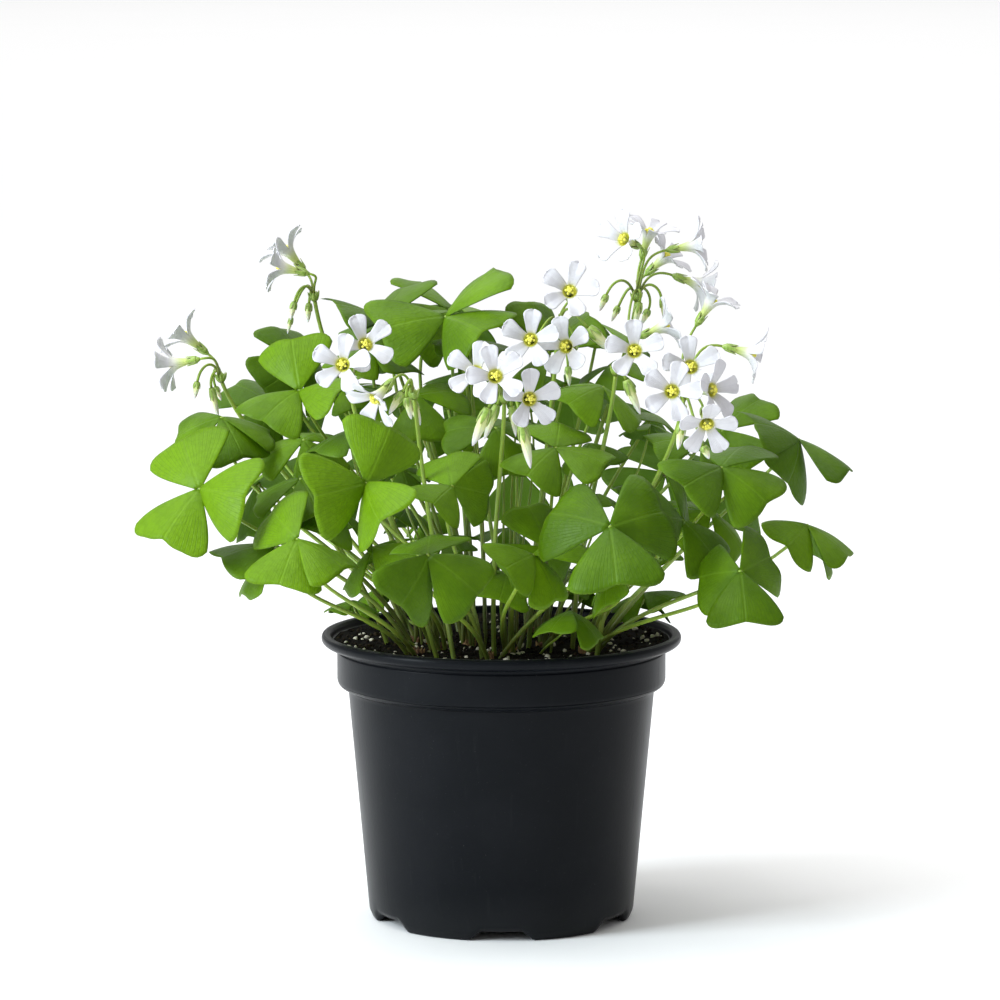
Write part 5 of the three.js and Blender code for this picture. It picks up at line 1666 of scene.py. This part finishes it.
MATTE_DARKENING = 0.985


def matte(name, shade, roughness):
    """A plain matte finish with the faintest unevenness."""
    finish = Finish(name, roughness=roughness)
    darker = tuple(MATTE_DARKENING * part for part in shade)
    finish.set("base_color", finish.mix(finish.noise(3, 2), shade, darker))
    return finish.material


def softbox(name, place, aim, width, height, power, shade):
    """An area light at a place, in metres, that points at its aim."""
    light = bpy.data.lights.new(name, "AREA")
    light.shape = "RECTANGLE"
    light.size, light.size_y = width, height
    light.energy = power
    light.color = shade
    lamp = bpy.data.objects.new(name, light)
    lamp.location = place
    lamp.rotation_euler = track(place, aim)
    bpy.context.scene.collection.objects.link(lamp)


def track(place, aim):
    """The turn that points -Z from a place at its aim, with Y up."""
    way = unit(np.array(aim, float) - np.array(place, float))
    pitch = np.arccos(-way[2])
    return pitch, 0.0, np.arctan2(way[1], way[0]) - np.pi / 2


CAMERA_PLACE = (-0.0005, -1.8, 0.389)
CAMERA_PITCH = 7.5
CAMERA_LENS = 181.4
CAMERA_REACH = 50
SENSOR = 36
FLOOR_REACH = 60
FLOOR_SHADE = 0.96
SKY_STRENGTH = 0.46
PLANT_MIDDLE = (0, 0, 0.15)
# Softboxes: name, place, aim, width, height, power and colour
SOFTBOXES = (
    ("left softbox", (-1.5, -0.8, 0.9), PLANT_MIDDLE, 0.7, 1.2, 42, (0.84, 0.94, 1.0)),
    ("top softbox", (-0.5, -0.2, 1.6), PLANT_MIDDLE, 1.2, 1.2, 15, (1, 1, 1)),
    ("backdrop softbox", (0, 7, 4), (0, 7, 0), 14, 8, 330, (1, 1, 1)),
)


class OXALIS_OT_stage(Operator):
    """Lays the floor and sets the lights and the camera"""

    bl_idname = "oxalis.stage"
    bl_label = "Stage"

    def execute(self, context):
        scene = context.scene
        mesh = bpy.data.meshes.new("floor")
        corners = [(x * FLOOR_REACH, y * FLOOR_REACH, 0) for x, y in ((-1, -1), (1, -1), (1, 1), (-1, 1))]
        mesh.from_pydata(corners, [], [(0, 1, 2, 3)])
        mesh.materials.append(matte("floor", (FLOOR_SHADE, FLOOR_SHADE, FLOOR_SHADE), 0.9))
        floor = bpy.data.objects.new("floor", mesh)
        scene.collection.objects.link(floor)
        world = bpy.data.worlds.new("studio")
        world.use_nodes = True
        background = world.node_tree.nodes["Background"]
        background.inputs["Color"].default_value = (1, 1, 1, 1)
        background.inputs["Strength"].default_value = SKY_STRENGTH
        scene.world = world
        for box in SOFTBOXES:
            softbox(*box)
        scene.view_settings.view_transform = "Standard"
        camera = bpy.data.cameras.new("camera")
        camera.lens = CAMERA_LENS
        camera.sensor_width = SENSOR
        camera.clip_end = CAMERA_REACH
        view = bpy.data.objects.new("camera", camera)
        view.location = CAMERA_PLACE
        view.rotation_euler = (np.radians(90 - CAMERA_PITCH), 0, 0)
        scene.collection.objects.link(view)
        scene.camera = view
        return {"FINISHED"}


# The add-on


class OXALIS_PT_panel(Panel):
    """Sizes, colours and the steps that build the plant"""

    bl_label = "Potted oxalis"
    bl_space_type = "VIEW_3D"
    bl_region_type = "UI"
    bl_category = "Oxalis"

    def draw(self, context):
        scene = context.scene
        for group in (scene.oxalis_sizes, scene.oxalis_colours):
            column = self.layout.column()
            for key in group.bl_rna.properties.keys():
                if key not in ("rna_type", "name"):
                    column.prop(group, key)
        for step in STEPS:
            self.layout.operator(step.bl_idname)


STEPS = (
    OXALIS_OT_stage,
    OXALIS_OT_pot,
    OXALIS_OT_soil,
    OXALIS_OT_leaves,
    OXALIS_OT_stalks,
    OXALIS_OT_flowers,
)
CLASSES = (OxalisSizes, OxalisColours, *STEPS, OXALIS_PT_panel)


def register():
    for cls in CLASSES:
        bpy.utils.register_class(cls)
    bpy.types.Scene.oxalis_sizes = PointerProperty(type=OxalisSizes)
    bpy.types.Scene.oxalis_colours = PointerProperty(type=OxalisColours)


def unregister():
    del bpy.types.Scene.oxalis_colours
    del bpy.types.Scene.oxalis_sizes
    for cls in reversed(CLASSES):
        bpy.utils.unregister_class(cls)


def main():
    register()
    for step in STEPS:
        group, _, name = step.bl_idname.partition(".")
        getattr(getattr(bpy.ops, group), name)()


if __name__ == "__main__":
    main()
